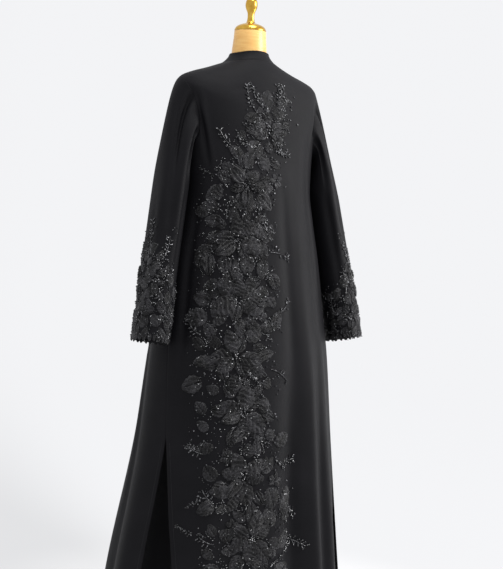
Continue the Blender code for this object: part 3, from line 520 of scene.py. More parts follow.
def turned_by(heading, ahead, aside):
    """A step ahead and aside, as a step across and up."""
    c, s = math.cos(heading), math.sin(heading)
    return ahead * c - aside * s, ahead * s + aside * c


def ease(at, start, full):
    t = np.clip((at - start) / (full - start), 0.0, 1.0)
    return t * t * (3 - 2 * t)


def unit(v):
    return v / np.maximum(np.linalg.norm(v, axis=-1, keepdims=True), 1e-12)


def distances(points):
    """How far along a line of points each one lies."""
    return np.concatenate([[0.0], np.cumsum(np.linalg.norm(np.diff(points, axis=0), axis=1))])


def section(turn, half_width, side_y, side_z, back_y, back_z, front_y, front_z):
    """A point on one level's outline, for a turn in radians."""
    s, c = np.sin(turn), np.cos(turn)
    y_reach = np.where(c > 0, back_y - side_y, side_y - front_y)
    z_reach = np.where(c > 0, back_z - side_z, front_z - side_z)
    return np.stack([half_width * s, side_y + y_reach * c, side_z + z_reach * c * c], -1)


def plain_body(turn, down):
    """The body with no folds, for turns in degrees."""
    return section(np.radians(turn), *(RING[name](down) for name in RING_COLUMNS[1:]))


def fold_height(turn, down):
    height = np.zeros(np.shape(turn))
    for top_turn, hem_turn, width, depth, starts, full in FOLDS:
        middle = top_turn + (hem_turn - top_turn) * np.clip((down - starts) / (HEM_DOWN - starts), 0, 1)
        height = height + depth * ease(down, starts, full) * np.exp(-(((turn - middle) / width) ** 2))
    for from_turn, starts, to_turn, ends, width, depth in CREASES:
        t = (down - starts) / (ends - starts)
        middle = from_turn + (to_turn - from_turn) * t + 0.25 * width * np.sin(5.0 * t + from_turn)
        length = np.clip(t, 0, 1)
        swell = (4 * length * (1 - length)) ** 0.8 if ends < 1.40 else ease(length, 0.0, 0.6)
        height = height + depth * swell * np.exp(-(((turn - middle) / width) ** 2))
    return height


def folded_body(turn, down):
    flat = plain_body(turn, down)
    radial = np.stack(
        [
            np.sin(np.radians(turn)) / RING["half_width"](down),
            np.cos(np.radians(turn)) / (RING["back_y"](down) - RING["side_y"](down)),
            np.zeros(np.shape(turn)),
        ],
        -1,
    )
    return flat + unit(radial) * fold_height(turn, down)[..., None]


def with_normal(surface, a, b, a_step, b_step):
    """Points of a surface, and the directions out of it."""
    along_a = surface(a + a_step, b) - surface(a - a_step, b)
    along_b = surface(a, b + b_step) - surface(a, b - b_step)
    return surface(a, b), unit(np.cross(along_a, along_b))


def body_surface(turn, down):
    return with_normal(folded_body, turn, down, TURN_DIFFERENCE, DIFFERENCE)


def armhole(round_it):
    """The left armhole: 0 at the shoulder tip, a half at the armpit, by way of the back."""
    angle = 2 * math.pi * np.asarray(round_it, dtype=float)
    inward = np.where(np.sin(angle) > 0, ARMHOLE_IN_BACK, ARMHOLE_IN_FRONT)
    return 90.0 - inward * np.sin(angle), ARMHOLE_MIDDLE - ARMHOLE_HALF * np.cos(angle)


def armhole_turn(down, inward):
    """The turn of the armhole's edge at a level."""
    far = (down - ARMHOLE_MIDDLE) / ARMHOLE_HALF
    return 90.0 - inward * np.sqrt(np.clip(1 - far ** 2, 0.0, 1.0))


def front_turn(down):
    """The turn of the open front edge."""
    return 180.0 - np.degrees(np.arcsin(HALF_GAP(down) / RING["half_width"](down)))


def side_limit(down, inward, slit_turn):
    """The turn at which a panel ends at each level, on the left."""
    in_armhole = (down > SHOULDER_TIP_DOWN) & (down < ARMPIT_DOWN)
    lower = np.where(down <= SLIT_TOP_DOWN, SIDE_TURN(down), slit_turn(down))
    upper = np.where(in_armhole, armhole_turn(down, inward), 90.0)
    return np.where(down < ARMPIT_DOWN, upper, lower)


def outside_body(points, clearance):
    """Moves the points that lie in the body, or too near it, out to the clearance."""
    moved = np.array(points)
    x, y, z = moved[..., 0], moved[..., 1], moved[..., 2]
    down = np.interp(-z, -RING["side_z"](LEVELS), LEVELS)
    side_y = RING["side_y"](down)
    deep = np.where(y > side_y, RING["back_y"](down) - side_y, side_y - RING["front_y"](down))
    offset = (y - side_y) / deep
    body_x = RING["half_width"](down) * np.sqrt(np.clip(1 - offset ** 2, 0.05, 1))
    near = ease(z, 1.290, 1.215)
    moved[..., 0] = x + near * np.maximum(body_x + clearance - x, 0)
    return moved


SLEEVE_AXIS = np.array(SLEEVE_END) - np.array(SLEEVE_TOP)
TUBE_LENGTH = float(np.linalg.norm(SLEEVE_AXIS))
SLEEVE_LENGTH = CAP_LENGTH + TUBE_LENGTH
SLEEVE_DOWN = SLEEVE_AXIS / TUBE_LENGTH
SLEEVE_BACK = unit(np.array([0.0, 1.0, 0.0]) - SLEEVE_DOWN * SLEEVE_DOWN[1])
SLEEVE_OUT = np.cross(SLEEVE_DOWN, SLEEVE_BACK)
SLEEVE_GIRTH_LENGTH = 2 * math.pi * SLEEVE_FLAT_RADIUS


def tube_point(round_it, share):
    """A point of the sleeve's tube: round it from its outer side by the back."""
    angle = 2 * math.pi * round_it
    centre = np.array(SLEEVE_TOP) + share[..., None] * SLEEVE_AXIS
    wide = SLEEVE_HALF["half_width"](share)
    deep = SLEEVE_HALF["half_depth"](share)
    return (
        centre
        + (wide * np.cos(angle))[..., None] * SLEEVE_OUT
        + (deep * np.sin(angle))[..., None] * SLEEVE_BACK
    )


def bridge(start, end, t, pull, leave, end_pull, arrive):
    """A cubic that leaves its start one way, pulled this much, and comes in to its end another way."""
    rise = (3 - 2 * t) * t * t
    return (
        start * (1 - rise)
        + end * rise
        + t * (1 - t) ** 2 * pull * leave
        - t * t * (1 - t) * end_pull * arrive
    )


def armhole_frame(round_it):
    """At the armhole's edge: the point, the way out of the body, and the way off the panel."""
    rounds, places = np.unique(round_it, return_inverse=True)
    point, out = body_surface(*armhole(rounds))
    before, after = (folded_body(*armhole(rounds + d)) for d in (-DIFFERENCE, DIFFERENCE))
    off = unit(np.cross(after - before, out))
    centre = plain_body(np.array(90.0), np.array(ARMHOLE_MIDDLE))
    off = off * np.sign(((centre - point) * off).sum(-1))[..., None]
    places = places.reshape(np.shape(round_it))
    return point[places], out[places], off[places]


def sleeve_turn(round_it):
    """How far the sleeve turns off the body at the seam: most of all under the arm."""
    under = (1 - np.cos(2 * math.pi * round_it)) / 2
    return np.radians(UNDERARM_TURN) * under ** UNDERARM_TURN_POWER


def sleeve_points(round_it, along):
    """The sleeve's outer side. Along 0 it meets the armhole, and past the cap it is a tube."""
    point, out, off = armhole_frame(round_it)
    turn = sleeve_turn(round_it)[..., None]
    leave = off * np.cos(turn) + out * np.sin(turn)
    start = point + (off * np.cos(turn / 2) + out * np.sin(turn / 2)) * SEAM_GAP * 0.6
    share = np.maximum((along - CAP_LENGTH) / TUBE_LENGTH, 0.0)
    end = tube_point(round_it, share)
    t = np.clip(along / CAP_LENGTH, 0.0, 1.0)[..., None]
    under = ((1 - np.cos(2 * math.pi * round_it)) / 2)[..., None]
    pull = CAP_PULL + (UNDERARM_PULL - CAP_PULL) * under
    reach = np.linalg.norm(end - start, axis=-1, keepdims=True)
    cap = bridge(start, end, t, pull, leave, reach, SLEEVE_DOWN)
    surface = np.where(along[..., None] < CAP_LENGTH, cap, end)
    height = np.zeros(np.shape(round_it))
    for top_round, end_round, width, depth, starts, ends in SLEEVE_FOLDS:
        middle = top_round + (end_round - top_round) * along / SLEEVE_LENGTH
        apart = (round_it - middle + 0.5) % 1.0 - 0.5
        grown = ease(along, starts, starts + 0.08) * (1 - ease(along, ends - 0.10, ends))
        height = height + depth * grown * np.exp(-((apart / width) ** 2))
    angle = 2 * math.pi * round_it
    radial = np.cos(angle)[..., None] * SLEEVE_OUT + np.sin(angle)[..., None] * SLEEVE_BACK
    surface = surface + radial * height[..., None]
    clearance = BODY_CLEARANCE * ease(along, 0.0, 0.06)
    return np.where(along[..., None] > 0, outside_body(surface, clearance), surface)


def sleeve_surface(round_it, along):
    where, normal = with_normal(sleeve_points, round_it, along, ROUND_DIFFERENCE, 5e-4)
    _, out, off = armhole_frame(round_it)
    turn = sleeve_turn(round_it)[..., None]
    seam_normal = out * np.cos(turn) - off * np.sin(turn)
    share = ease(along, 0.0, 0.030)[..., None]
    return where, unit(seam_normal * (1 - share) - normal * share)


def collar_points(turn, up):
    """The collar's outer side, from the neck seam at 0 to its top edge at 1."""
    base, out = body_surface(turn, np.zeros(np.shape(turn)))
    below = body_surface(turn, np.full(np.shape(turn), 2e-3))[0]
    leave = unit(base - below)
    top = section(np.radians(turn), *(COLLAR_TOP[name] for name in RING_COLUMNS[1:]))
    start = base + leave * SEAM_GAP / 2
    upward = np.array([0.0, 0.0, 1.0])
    return bridge(start, top, np.clip(up, 0.0, 1.0)[..., None], COLLAR_PULL, leave, COLLAR_PULL, upward)


def collar_surface(turn, up):
    where, normal = with_normal(collar_points, turn, up, TURN_DIFFERENCE, 1e-3)
    seam_normal = body_surface(turn, np.zeros(np.shape(turn)))[1]
    share = ease(up, 0.0, 0.35)[..., None]
    return where, unit(seam_normal * (1 - share) - normal * share)


# Laying things on the cloth
def down_at(height):
    """How far down from the neck seam the middle of the back is at a height."""
    return float(np.interp(-height, -RING["back_z"](LEVELS), LEVELS))


def on_back(turn, height):
    """A patch of the back: its own metres across and up, to points and outward directions."""
    down = down_at(height)
    beside = plain_body(np.array([turn - 0.5, turn + 0.5]), np.array([down, down]))
    girth = float(np.linalg.norm(beside[1] - beside[0])) / math.radians(1.0)

    def lay(across, up):
        at = np.clip(down - np.asarray(up), TOP_MARGIN, HEM_DOWN - HEM_MARGIN)
        return body_surface(turn + np.degrees(np.asarray(across) / girth), at)

    def place(other_turn, other_height):
        return math.radians(other_turn - turn) * girth, down - down_at(other_height)

    lay.place = place
    return lay


class Sampled:
    """A surface looked up on a fine grid, which is quicker than working it out each time."""

    def __init__(self, surface, a, b):
        self.a, self.b = a, b
        self.grid = surface(*np.meshgrid(a, b, indexing="ij"))

    def __call__(self, a, b):
        a, b = np.broadcast_arrays(np.asarray(a, dtype=float), np.asarray(b, dtype=float))
        i, s = self.cell(self.a, a)
        j, t = self.cell(self.b, b)
        s, t = s[..., None], t[..., None]

        def mixed(grid):
            near = grid[i, j] * (1 - s) + grid[i + 1, j] * s
            far = grid[i, j + 1] * (1 - s) + grid[i + 1, j + 1] * s
            return near * (1 - t) + far * t

        where, out = self.grid
        return mixed(where), unit(mixed(out))

    @staticmethod
    def cell(stations, at):
        share = np.clip((at - stations[0]) / (stations[1] - stations[0]), 0, len(stations) - 1.001)
        return share.astype(int), share - share.astype(int)


SLEEVE_GRID = Sampled(
    sleeve_surface, np.linspace(-0.75, 1.25, 1001), np.linspace(0.0, SLEEVE_LENGTH + 0.005, 221)
)


def on_sleeve(round_it, height):
    """A patch of the left sleeve, like on_back."""

    def lay(across, up):
        at = np.clip(SLEEVE_LENGTH - height - np.asarray(up), TOP_MARGIN, SLEEVE_LENGTH + CUFF_OVERHANG)
        return SLEEVE_GRID(round_it + np.asarray(across) / SLEEVE_GIRTH_LENGTH, at)

    return lay


def linked(name, data):
    """A new object in the scene."""
    made = bpy.data.objects.new(name, data)
    bpy.context.scene.collection.objects.link(made)
    return made


def riding(name, mesh):
    made = linked(name, mesh)
    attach(made, "root")
    return made


class Heap:
    """Many small meshes gathered into one."""

    def __init__(self):
        self.points = []
        self.faces = []
        self.flat = []
        self.count = 0

    def add(self, points, faces, flat=None):
        self.points.append(points)
        self.faces += [[i + self.count for i in face] for face in faces]
        self.flat.append(np.zeros((len(points), 2)) if flat is None else flat)
        self.count += len(points)

    def tree(self):
        return BVHTree.FromPolygons(np.concatenate(self.points).tolist(), self.faces)

    def mirrored(self):
        other = Heap()
        other.points = [p * np.array([-1.0, 1.0, 1.0]) for p in self.points]
        other.faces = [face[::-1] for face in self.faces]
        other.flat = list(self.flat)
        other.count = self.count
        return other

    def piece(self, name, material, smooth=True):
        mesh = bpy.data.meshes.new(name)
        mesh.from_pydata(np.concatenate(self.points).tolist(), [], self.faces)
        flat = np.concatenate(self.flat)
        layer = mesh.uv_layers.new(name="cloth")
        corners = np.empty(len(mesh.loops), dtype=int)
        mesh.loops.foreach_get("vertex_index", corners)
        layer.data.foreach_set("uv", flat[corners].ravel())
        mesh.polygons.foreach_set("use_smooth", [smooth] * len(mesh.polygons))
        mesh.materials.append(material)
        mesh.validate()
        mesh.update()
        return riding(name, mesh)


def grid_faces(rows, columns):
    """Quads of a grid of points that runs row by row."""
    i = np.arange((rows - 1) * columns).reshape(rows - 1, columns)[:, :-1].ravel()
    return np.stack([i, i + 1, i + columns + 1, i + columns], -1).tolist()


def shell(where, out, flat, thick, closed=False):
    """A closed wall of cloth under a grid of points."""
    rows, columns = where.shape[:2]
    count = rows * columns
    outer = where.reshape(-1, 3)
    inner = (where - out * np.broadcast_to(thick, where.shape[:2])[..., None]).reshape(-1, 3)
    faces = grid_faces(rows, columns)
    faces += [[i + count for i in face[::-1]] for face in faces]
    edge = [(r, 0) for r in range(rows - 1)]
    edge += [(rows - 1, c) for c in range(columns - 1)]
    edge += [(r, columns - 1) for r in range(rows - 1, 0, -1)]
    edge += [(0, c) for c in range(columns - 1, 0, -1)]
    edge = [r * columns + c for r, c in edge]
    for a, b in zip(edge, edge[1:] + edge[:1]):
        same_side = closed and a % columns == b % columns and a % columns in (0, columns - 1)
        if not same_side:
            faces.append([a, b, b + count, a + count])
    flat = flat.reshape(-1, 2)
    return np.concatenate([outer, inner]), faces, np.concatenate([flat, flat])


def weld_and_face_out(made):
    """Joins points that meet and turns every face outwards."""
    body = bmesh.new()
    body.from_mesh(made.data)
    bmesh.ops.remove_doubles(body, verts=body.verts, dist=2e-6)
    bmesh.ops.recalc_face_normals(body, faces=body.faces)
    if body.calc_volume(signed=True) < 0:
        bmesh.ops.reverse_faces(body, faces=body.faces)
    body.to_mesh(made.data)
    body.free()


def cloth_piece(name, where, out, flat, material, mirrored=False, closed=False):
    made = Heap()
    made.add(*shell(where, out, flat, CLOTH, closed))
    piece = (made.mirrored() if mirrored else made).piece(name, material)
    weld_and_face_out(piece)
    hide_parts(name.removesuffix("_cloth"))
    return piece


def panel_grid(downs, columns, low_turn, high_turn):
    """Turns and levels of a panel between its two edges."""
    turns = np.linspace(low_turn(downs), high_turn(downs), columns, axis=1)
    return turns, np.broadcast_to(downs[:, None], turns.shape)


def hem_lift(down):
    """The doubled turning of a hem stands a little proud, with a faint line at its stitches."""
    seam = HEM_DOWN - HEM_TURNING
    return HEM_LIFT * ease(down, seam - 0.001, seam + 0.001)


def make_body_cloth(crepe):
    downs = np.concatenate(
        [
            np.linspace(0.0, SHOULDER_TIP_DOWN, SHOULDER_ROWS)[:-1],
            armhole(np.linspace(0.0, 0.5, ARMHOLE_ROWS))[1],
            np.linspace(ARMPIT_DOWN, HEM_DOWN, LOWER_ROWS)[1:],
        ]
    )

    def back_edge(down):
        return side_limit(down, ARMHOLE_IN_BACK, BACK_SLIT_TURN)

    def front_edge(down):
        return side_limit(down, -ARMHOLE_IN_FRONT, FRONT_SLIT_TURN)

    back_grid = panel_grid(downs, BACK_COLUMNS, lambda d: -back_edge(d), back_edge)
    front_grid = panel_grid(downs, FRONT_COLUMNS, front_edge, front_turn)
    pieces = []
    for name, (turns, levels), side in (
        ("back_panel_cloth", back_grid, 1.0),
        ("front_left_cloth", front_grid, 1.0),
        ("front_right_cloth", front_grid, -1.0),
    ):
        where, out = body_surface(turns * side, levels)
        where = where + out * hem_lift(levels)[..., None]
        flat = np.stack([np.radians(turns) * BODY_FLAT_RADIUS * side, levels], -1)
        pieces.append(cloth_piece(name, where, out, flat, crepe))
    return pieces


def make_sleeves(crepe):
    rounds = np.linspace(-0.5, 0.5, SLEEVE_ROUNDS)
    cap_rows = CAP_LENGTH * np.linspace(0, 1, CAP_ROWS) ** 1.25
    tube_rows = np.linspace(CAP_LENGTH, SLEEVE_LENGTH, TUBE_ROWS)[1:]
    around, along = np.meshgrid(rounds, np.concatenate([cap_rows, tube_rows]))
    where, out = sleeve_surface(around, along)
    flat = np.stack([around * SLEEVE_GIRTH_LENGTH, along], -1)
    return [
        cloth_piece("sleeve_left_cloth", where, out, flat, crepe, False, True),
        cloth_piece("sleeve_right_cloth", where, out, flat, crepe, True, True),
    ]


def make_collar(crepe):
    edge = float(front_turn(0.0))
    columns, rows = COLLAR_GRID
    turns, ups = np.meshgrid(np.linspace(-edge, edge, columns), np.linspace(0.0, 1.0, rows))
    where, out = collar_surface(turns, ups)
    flat = np.stack([np.radians(turns) * NECK_FLAT_RADIUS, ups * COLLAR_FLAT_HEIGHT], -1)
    return cloth_piece("stand_collar_cloth", where, out, flat, crepe)


# Flowers
def petal(lay, root, length, heading, lift, grid=HEAD_GRID, rise=1.0):
    """One ruched petal of organza on a patch of cloth. Its gathers run out from the root, along
    its midrib like a feather, or across it, and its edge is sewn down."""
    rows, columns = grid
    s = np.linspace(0.0, 1.0, rows)[:, None]
    t = np.linspace(-1.0, 1.0, columns)[None, :]
    style = int(rng.integers(0, 3))
    point = 0.74 + 0.16 * rng.random()
    wide = PETAL_SHAPE * length * (0.78 + 0.36 * rng.random()) * np.sin(np.pi * s ** point) ** 0.68
    wide = np.maximum(wide, 0.0006)
    bend = (rng.random() - 0.5) * 0.35 * length
    scallop = 1 + 0.06 * np.sin(2 * np.pi * (4.5 * s + rng.random())) * np.abs(t) ** 3
    ahead = s * length
    aside = t * wide * scallop + bend * s ** 2
    gathers = 1.5 + 0.9 * rng.random()
    phase = rng.random()
    if style == 0:
        ridge = 1.15 * gathers * t * (0.75 + 0.4 * s) + phase
    elif style == 1:
        ridge = 2.6 * gathers * (s - 0.30 * np.abs(t)) + phase
    else:
        ridge = 2.7 * gathers * s + 0.35 * np.sin(3 * t) + phase
    uneven = 0.70 + 0.30 * np.sin(2 * np.pi * (1.3 * t + 2.1 * s + phase))
    deep = RUCHE_DEPTH * min(1.0, length / RUCHE_FULL_LENGTH)
    inside = np.clip(1 - np.abs(t) ** 6, 0, 1) * np.clip(1 - np.abs(2 * s - 1) ** 8, 0, 1)
    rib = np.exp(-((t / 0.10) ** 2)) * (0.0 if style == 2 else 1.0)
    dome = np.sqrt(np.clip(1 - t ** 2, 0, 1)) * np.sin(np.pi * s ** 0.9) ** 0.5
    rim = np.exp(-(((np.abs(t) - 0.88) / 0.10) ** 2)) * np.sin(np.pi * s) ** 0.4
    height = lift + rise * (
        PETAL_DOME * dome
        + deep * inside * uneven * np.sin(2 * np.pi * ridge)
        - RIB_DEPTH * rib * inside
        + RIM_HEIGHT * rim
    )
    edge = np.maximum(np.abs(t), np.abs(2 * s - 1)) > 0.999
    height = np.where(edge, -EDGE_SINK, height)
    across, up = turned_by(heading, ahead, aside)
    where, out = lay(root[0] + across, root[1] + up)
    flat = np.stack([np.broadcast_to(ahead, aside.shape), aside], -1).reshape(-1, 2)
    return (where + out * height[..., None]).reshape(-1, 3), grid_faces(rows, columns), flat


def petal_rows(petals, reach, first):
    """A flower's petals: where each starts, across and up, its length and its heading."""
    rows = []
    for k in range(petals):
        heading = math.radians(first + 360.0 * k / petals + 9.0 * math.sin(3.1 * k + first))
        length = reach * (0.86 + 0.14 * math.cos(2.4 * k + first)) - PETAL_GAP
        rows.append((*polar(PETAL_GAP, heading), length, heading))
    return rows


def leaf_rows(petals, reach, first):
    """The leaves that stand out from behind a flower's petals."""
    rows = []
    for k in range(petals):
        away = math.radians(first + 360.0 * (k + 0.5) / petals)
        length = LEAF_LENGTH * reach * (0.9 + 0.1 * math.sin(5.0 * k))
        heading = away + 0.42 * math.sin(1.7 * k + first)
        rows.append((*polar(LEAF_ROOT * reach, away), length, heading))
    return rows


def ball():
    """A small faceted bead of unit radius."""
    body = bmesh.new()
    bmesh.ops.create_icosphere(body, subdivisions=1, radius=1.0)
    points = np.array([v.co for v in body.verts])
    faces = [[v.index for v in f.verts] for f in body.faces]
    body.free()
    return points, faces


BALL, BALL_FACES = ball()


def top_over(tree, at, out):
    """How far the topmost petal stands over a point of the cloth, or nothing where none does."""
    distance = tree.ray_cast(Vector(at + out * PETAL_REACH), Vector(-out), PETAL_REACH)[3]
    return 0.0 if distance is None else PETAL_REACH - distance


class Beads:
    """Beads on patches of cloth. A stretched one is a bugle bead that lies along its heading."""

    def __init__(self):
        self.rows = {}

    def add(self, lay, across, up, radius, height=0.0, stretch=1.0, heading=0.0):
        self.rows.setdefault(lay, []).append((across, up, radius, height, stretch, heading, rng.random()))

    def heap(self, petals):
        """The beads' meshes. None is held higher than the petal or the cloth right under it."""
        tree = petals.tree()
        made = Heap()
        for lay, rows in self.rows.items():
            across, up, radius, height, stretch, heading, spin = np.array(rows).T
            where, out = lay(across, up)
            height = np.minimum(height, [top_over(tree, *place) for place in zip(where, out)])
            x = unit(lay(across + SMALL_STEP, up)[0] - where)
            y = unit(lay(across, up + SMALL_STEP)[0] - where)
            c, s = np.cos(heading)[:, None], np.sin(heading)[:, None]
            along, beside = x * c + y * s, y * c - x * s
            c, s = np.cos(spin * np.pi)[:, None], np.sin(spin * np.pi)[:, None]
            ball_x = BALL[:, 0] * c - BALL[:, 1] * s
            ball_y = BALL[:, 0] * s + BALL[:, 1] * c
            points = (
                (where + out * (height + radius * BEAD_SEAT)[:, None])[:, None]
                + (radius * stretch)[:, None, None] * ball_x[..., None] * along[:, None]
                + radius[:, None, None] * ball_y[..., None] * beside[:, None]
                + radius[:, None, None] * BALL[None, :, 2:3] * out[:, None]
            )
            for bead_points in points:
                made.add(bead_points, BALL_FACES)
        return made


def head(petals, beads, lay, count, reach, first, leaves):
    """A flower head: petals of uneven length, with leaves behind, round a cluster of beads."""
    if leaves:
        for across, up, length, heading in leaf_rows(count, reach, first):
            petals.add(*petal(lay, (across, up), length, heading, 0.0002))
    for k, (across, up, length, heading) in enumerate(petal_rows(count, reach, first)):
        petals.add(*petal(lay, (across, up), length, heading, 0.0014 + 0.0012 * (k % 2)))
    for _ in range(HEAD_BEADS):
        angle = rng.random() * 2 * math.pi
        place = polar(HEAD_BEADS_REACH * math.sqrt(rng.random()), angle)
        beads.add(lay, *place, 0.0014 + 0.0010 * rng.random(), HEAD_BEADS_HEIGHT)
    for k in range(HEAD_BUGLES):
        angle = 2 * math.pi * k / HEAD_BUGLES + rng.random() * 0.4
        place = polar(0.013 + 0.010 * rng.random(), angle)
        beads.add(lay, *place, 0.0012, HEAD_BUGLES_HEIGHT, 1.8, angle)


def cord_along(heap, lay, points):
    """A thin raised cord through points on a patch."""
    radius = SPRAY_CORD_RADIUS
    points = np.array(points)
    where, out = lay(points[:, 0], points[:, 1])
    ahead = unit(np.gradient(where, axis=0))
    beside = unit(np.cross(out, ahead))
    ring = np.linspace(0, 2 * np.pi, 6, endpoint=False)
    tube = (
        where[:, None]
        + out[:, None] * (radius * (0.5 + np.sin(ring)))[None, :, None]
        + beside[:, None] * (radius * np.cos(ring))[None, :, None]
    )
    count = len(ring)
    faces = []
    for near in range(0, count * (len(points) - 1), count):
        for k in range(count):
            n = (k + 1) % count
            faces.append([near + k, near + n, near + count + n, near + count + k])
    heap.add(tube.reshape(-1, 3), faces)


def spray(beads, cords, lay, length, heading, bend):
    """A curved twig with beads on short stems to both sides."""
    steps = int(length / SPRAY_PITCH)
    across = up = 0.0
    points = []
    for k in range(steps):
        t = k / steps
        way = heading + bend * (t - 0.3)
        across += length / steps * math.cos(way)
        up += length / steps * math.sin(way)
        points.append((across, up))
        beads.add(lay, across, up, 0.0013 + 0.0004 * rng.random(), 0.0003, 1.5, way)
        if k % 2 == 0 and t > 0.15:
            for side in (-1, 1):
                if rng.random() < 0.3:
                    continue
                twig = way + side * (0.7 + 0.7 * rng.random())
                far = 0.0050 + 0.0040 * rng.random() * (1 - 0.5 * t)
                x, y = polar(far, twig)
                beads.add(lay, across + x, up + y, 0.0012 + 0.0006 * rng.random(), 0.0002, 1.9, twig)
                x, y = polar(far + 0.0036, twig)
                beads.add(lay, across + x, up + y, 0.0014 + 0.0006 * rng.random())
    cord_along(cords, lay, points)


def scatter(beads, lay, reach, count):
    """Loose beads round a flower, thinner towards its outside."""
    for _ in range(count):
        angle = rng.random() * 2 * math.pi
        far = reach * (0.25 + 1.10 * rng.random())
        radius = 0.0010 + 0.0011 * rng.random()
        beads.add(lay, *polar(far, angle), radius, LOOSE_BEAD_HEIGHT * (far < reach))


def flat_across(turn, height):
    """How far to the side of the back's middle a place lies."""
    return float(RING["half_width"](down_at(height))) * math.sin(math.radians(turn))


def draws_in(band, tries):
    """Random places in a band, each with two random numbers for the petal that may lie there."""
    heights, firsts, lasts = zip(*band)
    for _ in range(tries):
        height = heights[0] + (heights[-1] - heights[0]) * rng.random()
        first = float(np.interp(height, heights, firsts))
        last = float(np.interp(height, heights, lasts))
        yield first + (last - first) * rng.random(), height, rng.random(), rng.random()


def take(taken, across, height, spacing):
    """Takes a place, unless it is nearer than the spacing to one taken before."""
    if any(math.hypot(across - x, height - z) < spacing for x, z in taken):
        return False
    taken.append((across, height))
    return True


def band_pieces():
    """Petals that fill the band between the flower heads, as turn, height, length, heading, lift."""
    heads = np.array([(flat_across(row[0], row[1]), row[1], row[3]) for row in BACK_HEADS])
    taken, pieces = [], []
    for turn, height, aim, size in draws_in(BAND, BAND_TRIES):
        across = flat_across(turn, height)
        away = np.hypot(heads[:, 0] - across, heads[:, 1] - height)
        near = int(np.argmin(away))
        spacing = float(np.interp(height, (0.62, 0.90), (BAND_SPACING_LOW, BAND_SPACING)))
        if away[near] >= 0.66 * heads[near, 2] and take(taken, across, height, spacing):
            heading = math.atan2(height - heads[near, 1], across - heads[near, 0]) + 2.2 * (aim - 0.5)
            longest = 0.026 + 0.16 * (spacing - BAND_SPACING)
            pieces.append((turn, height, 0.030 + longest * size, heading, 0.0012 * aim))
    return pieces


def cuff_pieces():
    """Petals that fill a sleeve's band, as round, height, length, heading and lift."""
    taken = []
    return [
        (round_it, height, 0.022 + 0.016 * size, math.pi * (0.5 + 0.9 * (aim - 0.5)), 0.0010 * aim)
        for round_it, height, aim, size in draws_in(CUFF_BAND, CUFF_TRIES)
        if take(taken, round_it * SLEEVE_GIRTH_LENGTH, height, CUFF_SPACING)
    ]


def blossom(petals, beads, lay, reach):
    """A small open flower of round petals with a bead in its middle."""
    first = 360.0 * rng.random()
    near = 0.35
    for k, (across, up, _, heading) in enumerate(petal_rows(BLOSSOM_PETALS, reach, first)):
        root = near * across, near * up
        petals.add(*petal(lay, root, reach * 0.72, heading, 0.0010 * (k % 2), CUFF_GRID))
    for _ in range(BLOSSOM_BEADS):
        beads.add(lay, 0.003 * rng.normal(), 0.003 * rng.normal(), 0.0014, HEAD_BEADS_HEIGHT)


def edge_beads(beads, lay, root, length, heading, height):
    """Small beads sewn along part of a petal's edge."""
    side = 1 if rng.random() < 0.5 else -1
    first = 0.1 + 0.4 * rng.random()
    for s in np.arange(first, first + 0.5, EDGE_BEAD_PITCH / length):
        wide = side * PETAL_SHAPE * length * math.sin(math.pi * min(s, 0.99) ** 0.82) ** 0.62
        across, up = turned_by(heading, s * length, wide)
        beads.add(lay, root[0] + across, root[1] + up, 0.0010 + 0.0005 * rng.random(), height * 0.4)


def bead_cloud(beads, lay, length, heading, width, count):
    """A dense drift of small beads along a short way."""
    for _ in range(count):
        t = rng.random()
        aside = width * (1 - 0.5 * t) * rng.normal() * 0.6
        place = turned_by(heading, t * length, aside)
        stretch = 1.0 + 0.9 * (rng.random() < 0.3)
        way = heading + 2.0 * rng.random() - 1.0
        beads.add(lay, *place, 0.0011 + 0.0009 * rng.random(), 0.0016 * rng.random(), stretch, way)


def sew_petal(petals, beads, lay, length, heading, lift, bead_height, loose, grid, rise):
    """A petal across the middle of a patch, with beads on its edge and loose ones round it."""
    root = polar(-0.5 * length, heading)
    petals.add(*petal(lay, root, length, heading, lift, grid, rise))
    edge_beads(beads, lay, root, length, heading, bead_height + lift)
    scatter(beads, lay, *loose)


def sew_flowers(petals, beads, cords, patch, heads, leaves, loose, sprays):
    """Flower heads with loose beads round them, then sprays."""
    for place, height, count, reach, first in heads:
        lay = patch(place, height)
        head(petals, beads, lay, count, reach, first, leaves)
        scatter(beads, lay, reach, loose)
    for place, height, length, heading, bend in sprays:
        spray(beads, cords, patch(place, height), length, math.radians(heading), bend)


def make_back_flowers(organza, jet, silk):
    petals, beads, cords = Heap(), Beads(), Heap()
    for turn, height, length, heading, lift in band_pieces():
        lay = on_back(turn, height)
        if rng.random() < BLOSSOM_SHARE:
            blossom(petals, beads, lay, BLOSSOM_REACH)
            scatter(beads, lay, *BLOSSOM_LOOSE)
        else:
            sew_petal(petals, beads, lay, length, heading, lift, 0.0016, BAND_LOOSE, BAND_GRID, 1.0)
    for turn, height, length, heading, width, count in BEAD_CLOUDS:
        bead_cloud(beads, on_back(turn, height), length, math.radians(heading), width, count)
    for turn, height, length, heading in BACK_LEAVES:
        lay = on_back(turn, height)
        petals.add(*petal(lay, (0.0, 0.0), length, math.radians(heading), 0.0012))
        scatter(beads, lay, *LEAF_LOOSE)
    sew_flowers(petals, beads, cords, on_back, BACK_HEADS, True, BACK_HEAD_LOOSE, BACK_SPRAYS)
    centres = smooth_curve([row[1] for row in BACK_HEADS[::-1]], [row[0] for row in BACK_HEADS[::-1]])
    lay = on_back(0.0, 1.0)
    for height in np.linspace(*STEM_ENDS, STEM_BEADS):
        turn = float(centres(height)) + 1.6 * math.sin(height * 17.0)
        beads.add(lay, *lay.place(turn, height), 0.0012 + 0.0005 * rng.random(), 0.0004)
    return [
        petals.piece("back_petals", organza),
        beads.heap(petals).piece("back_beads", jet, False),
        cords.piece("back_cords", silk),
    ]


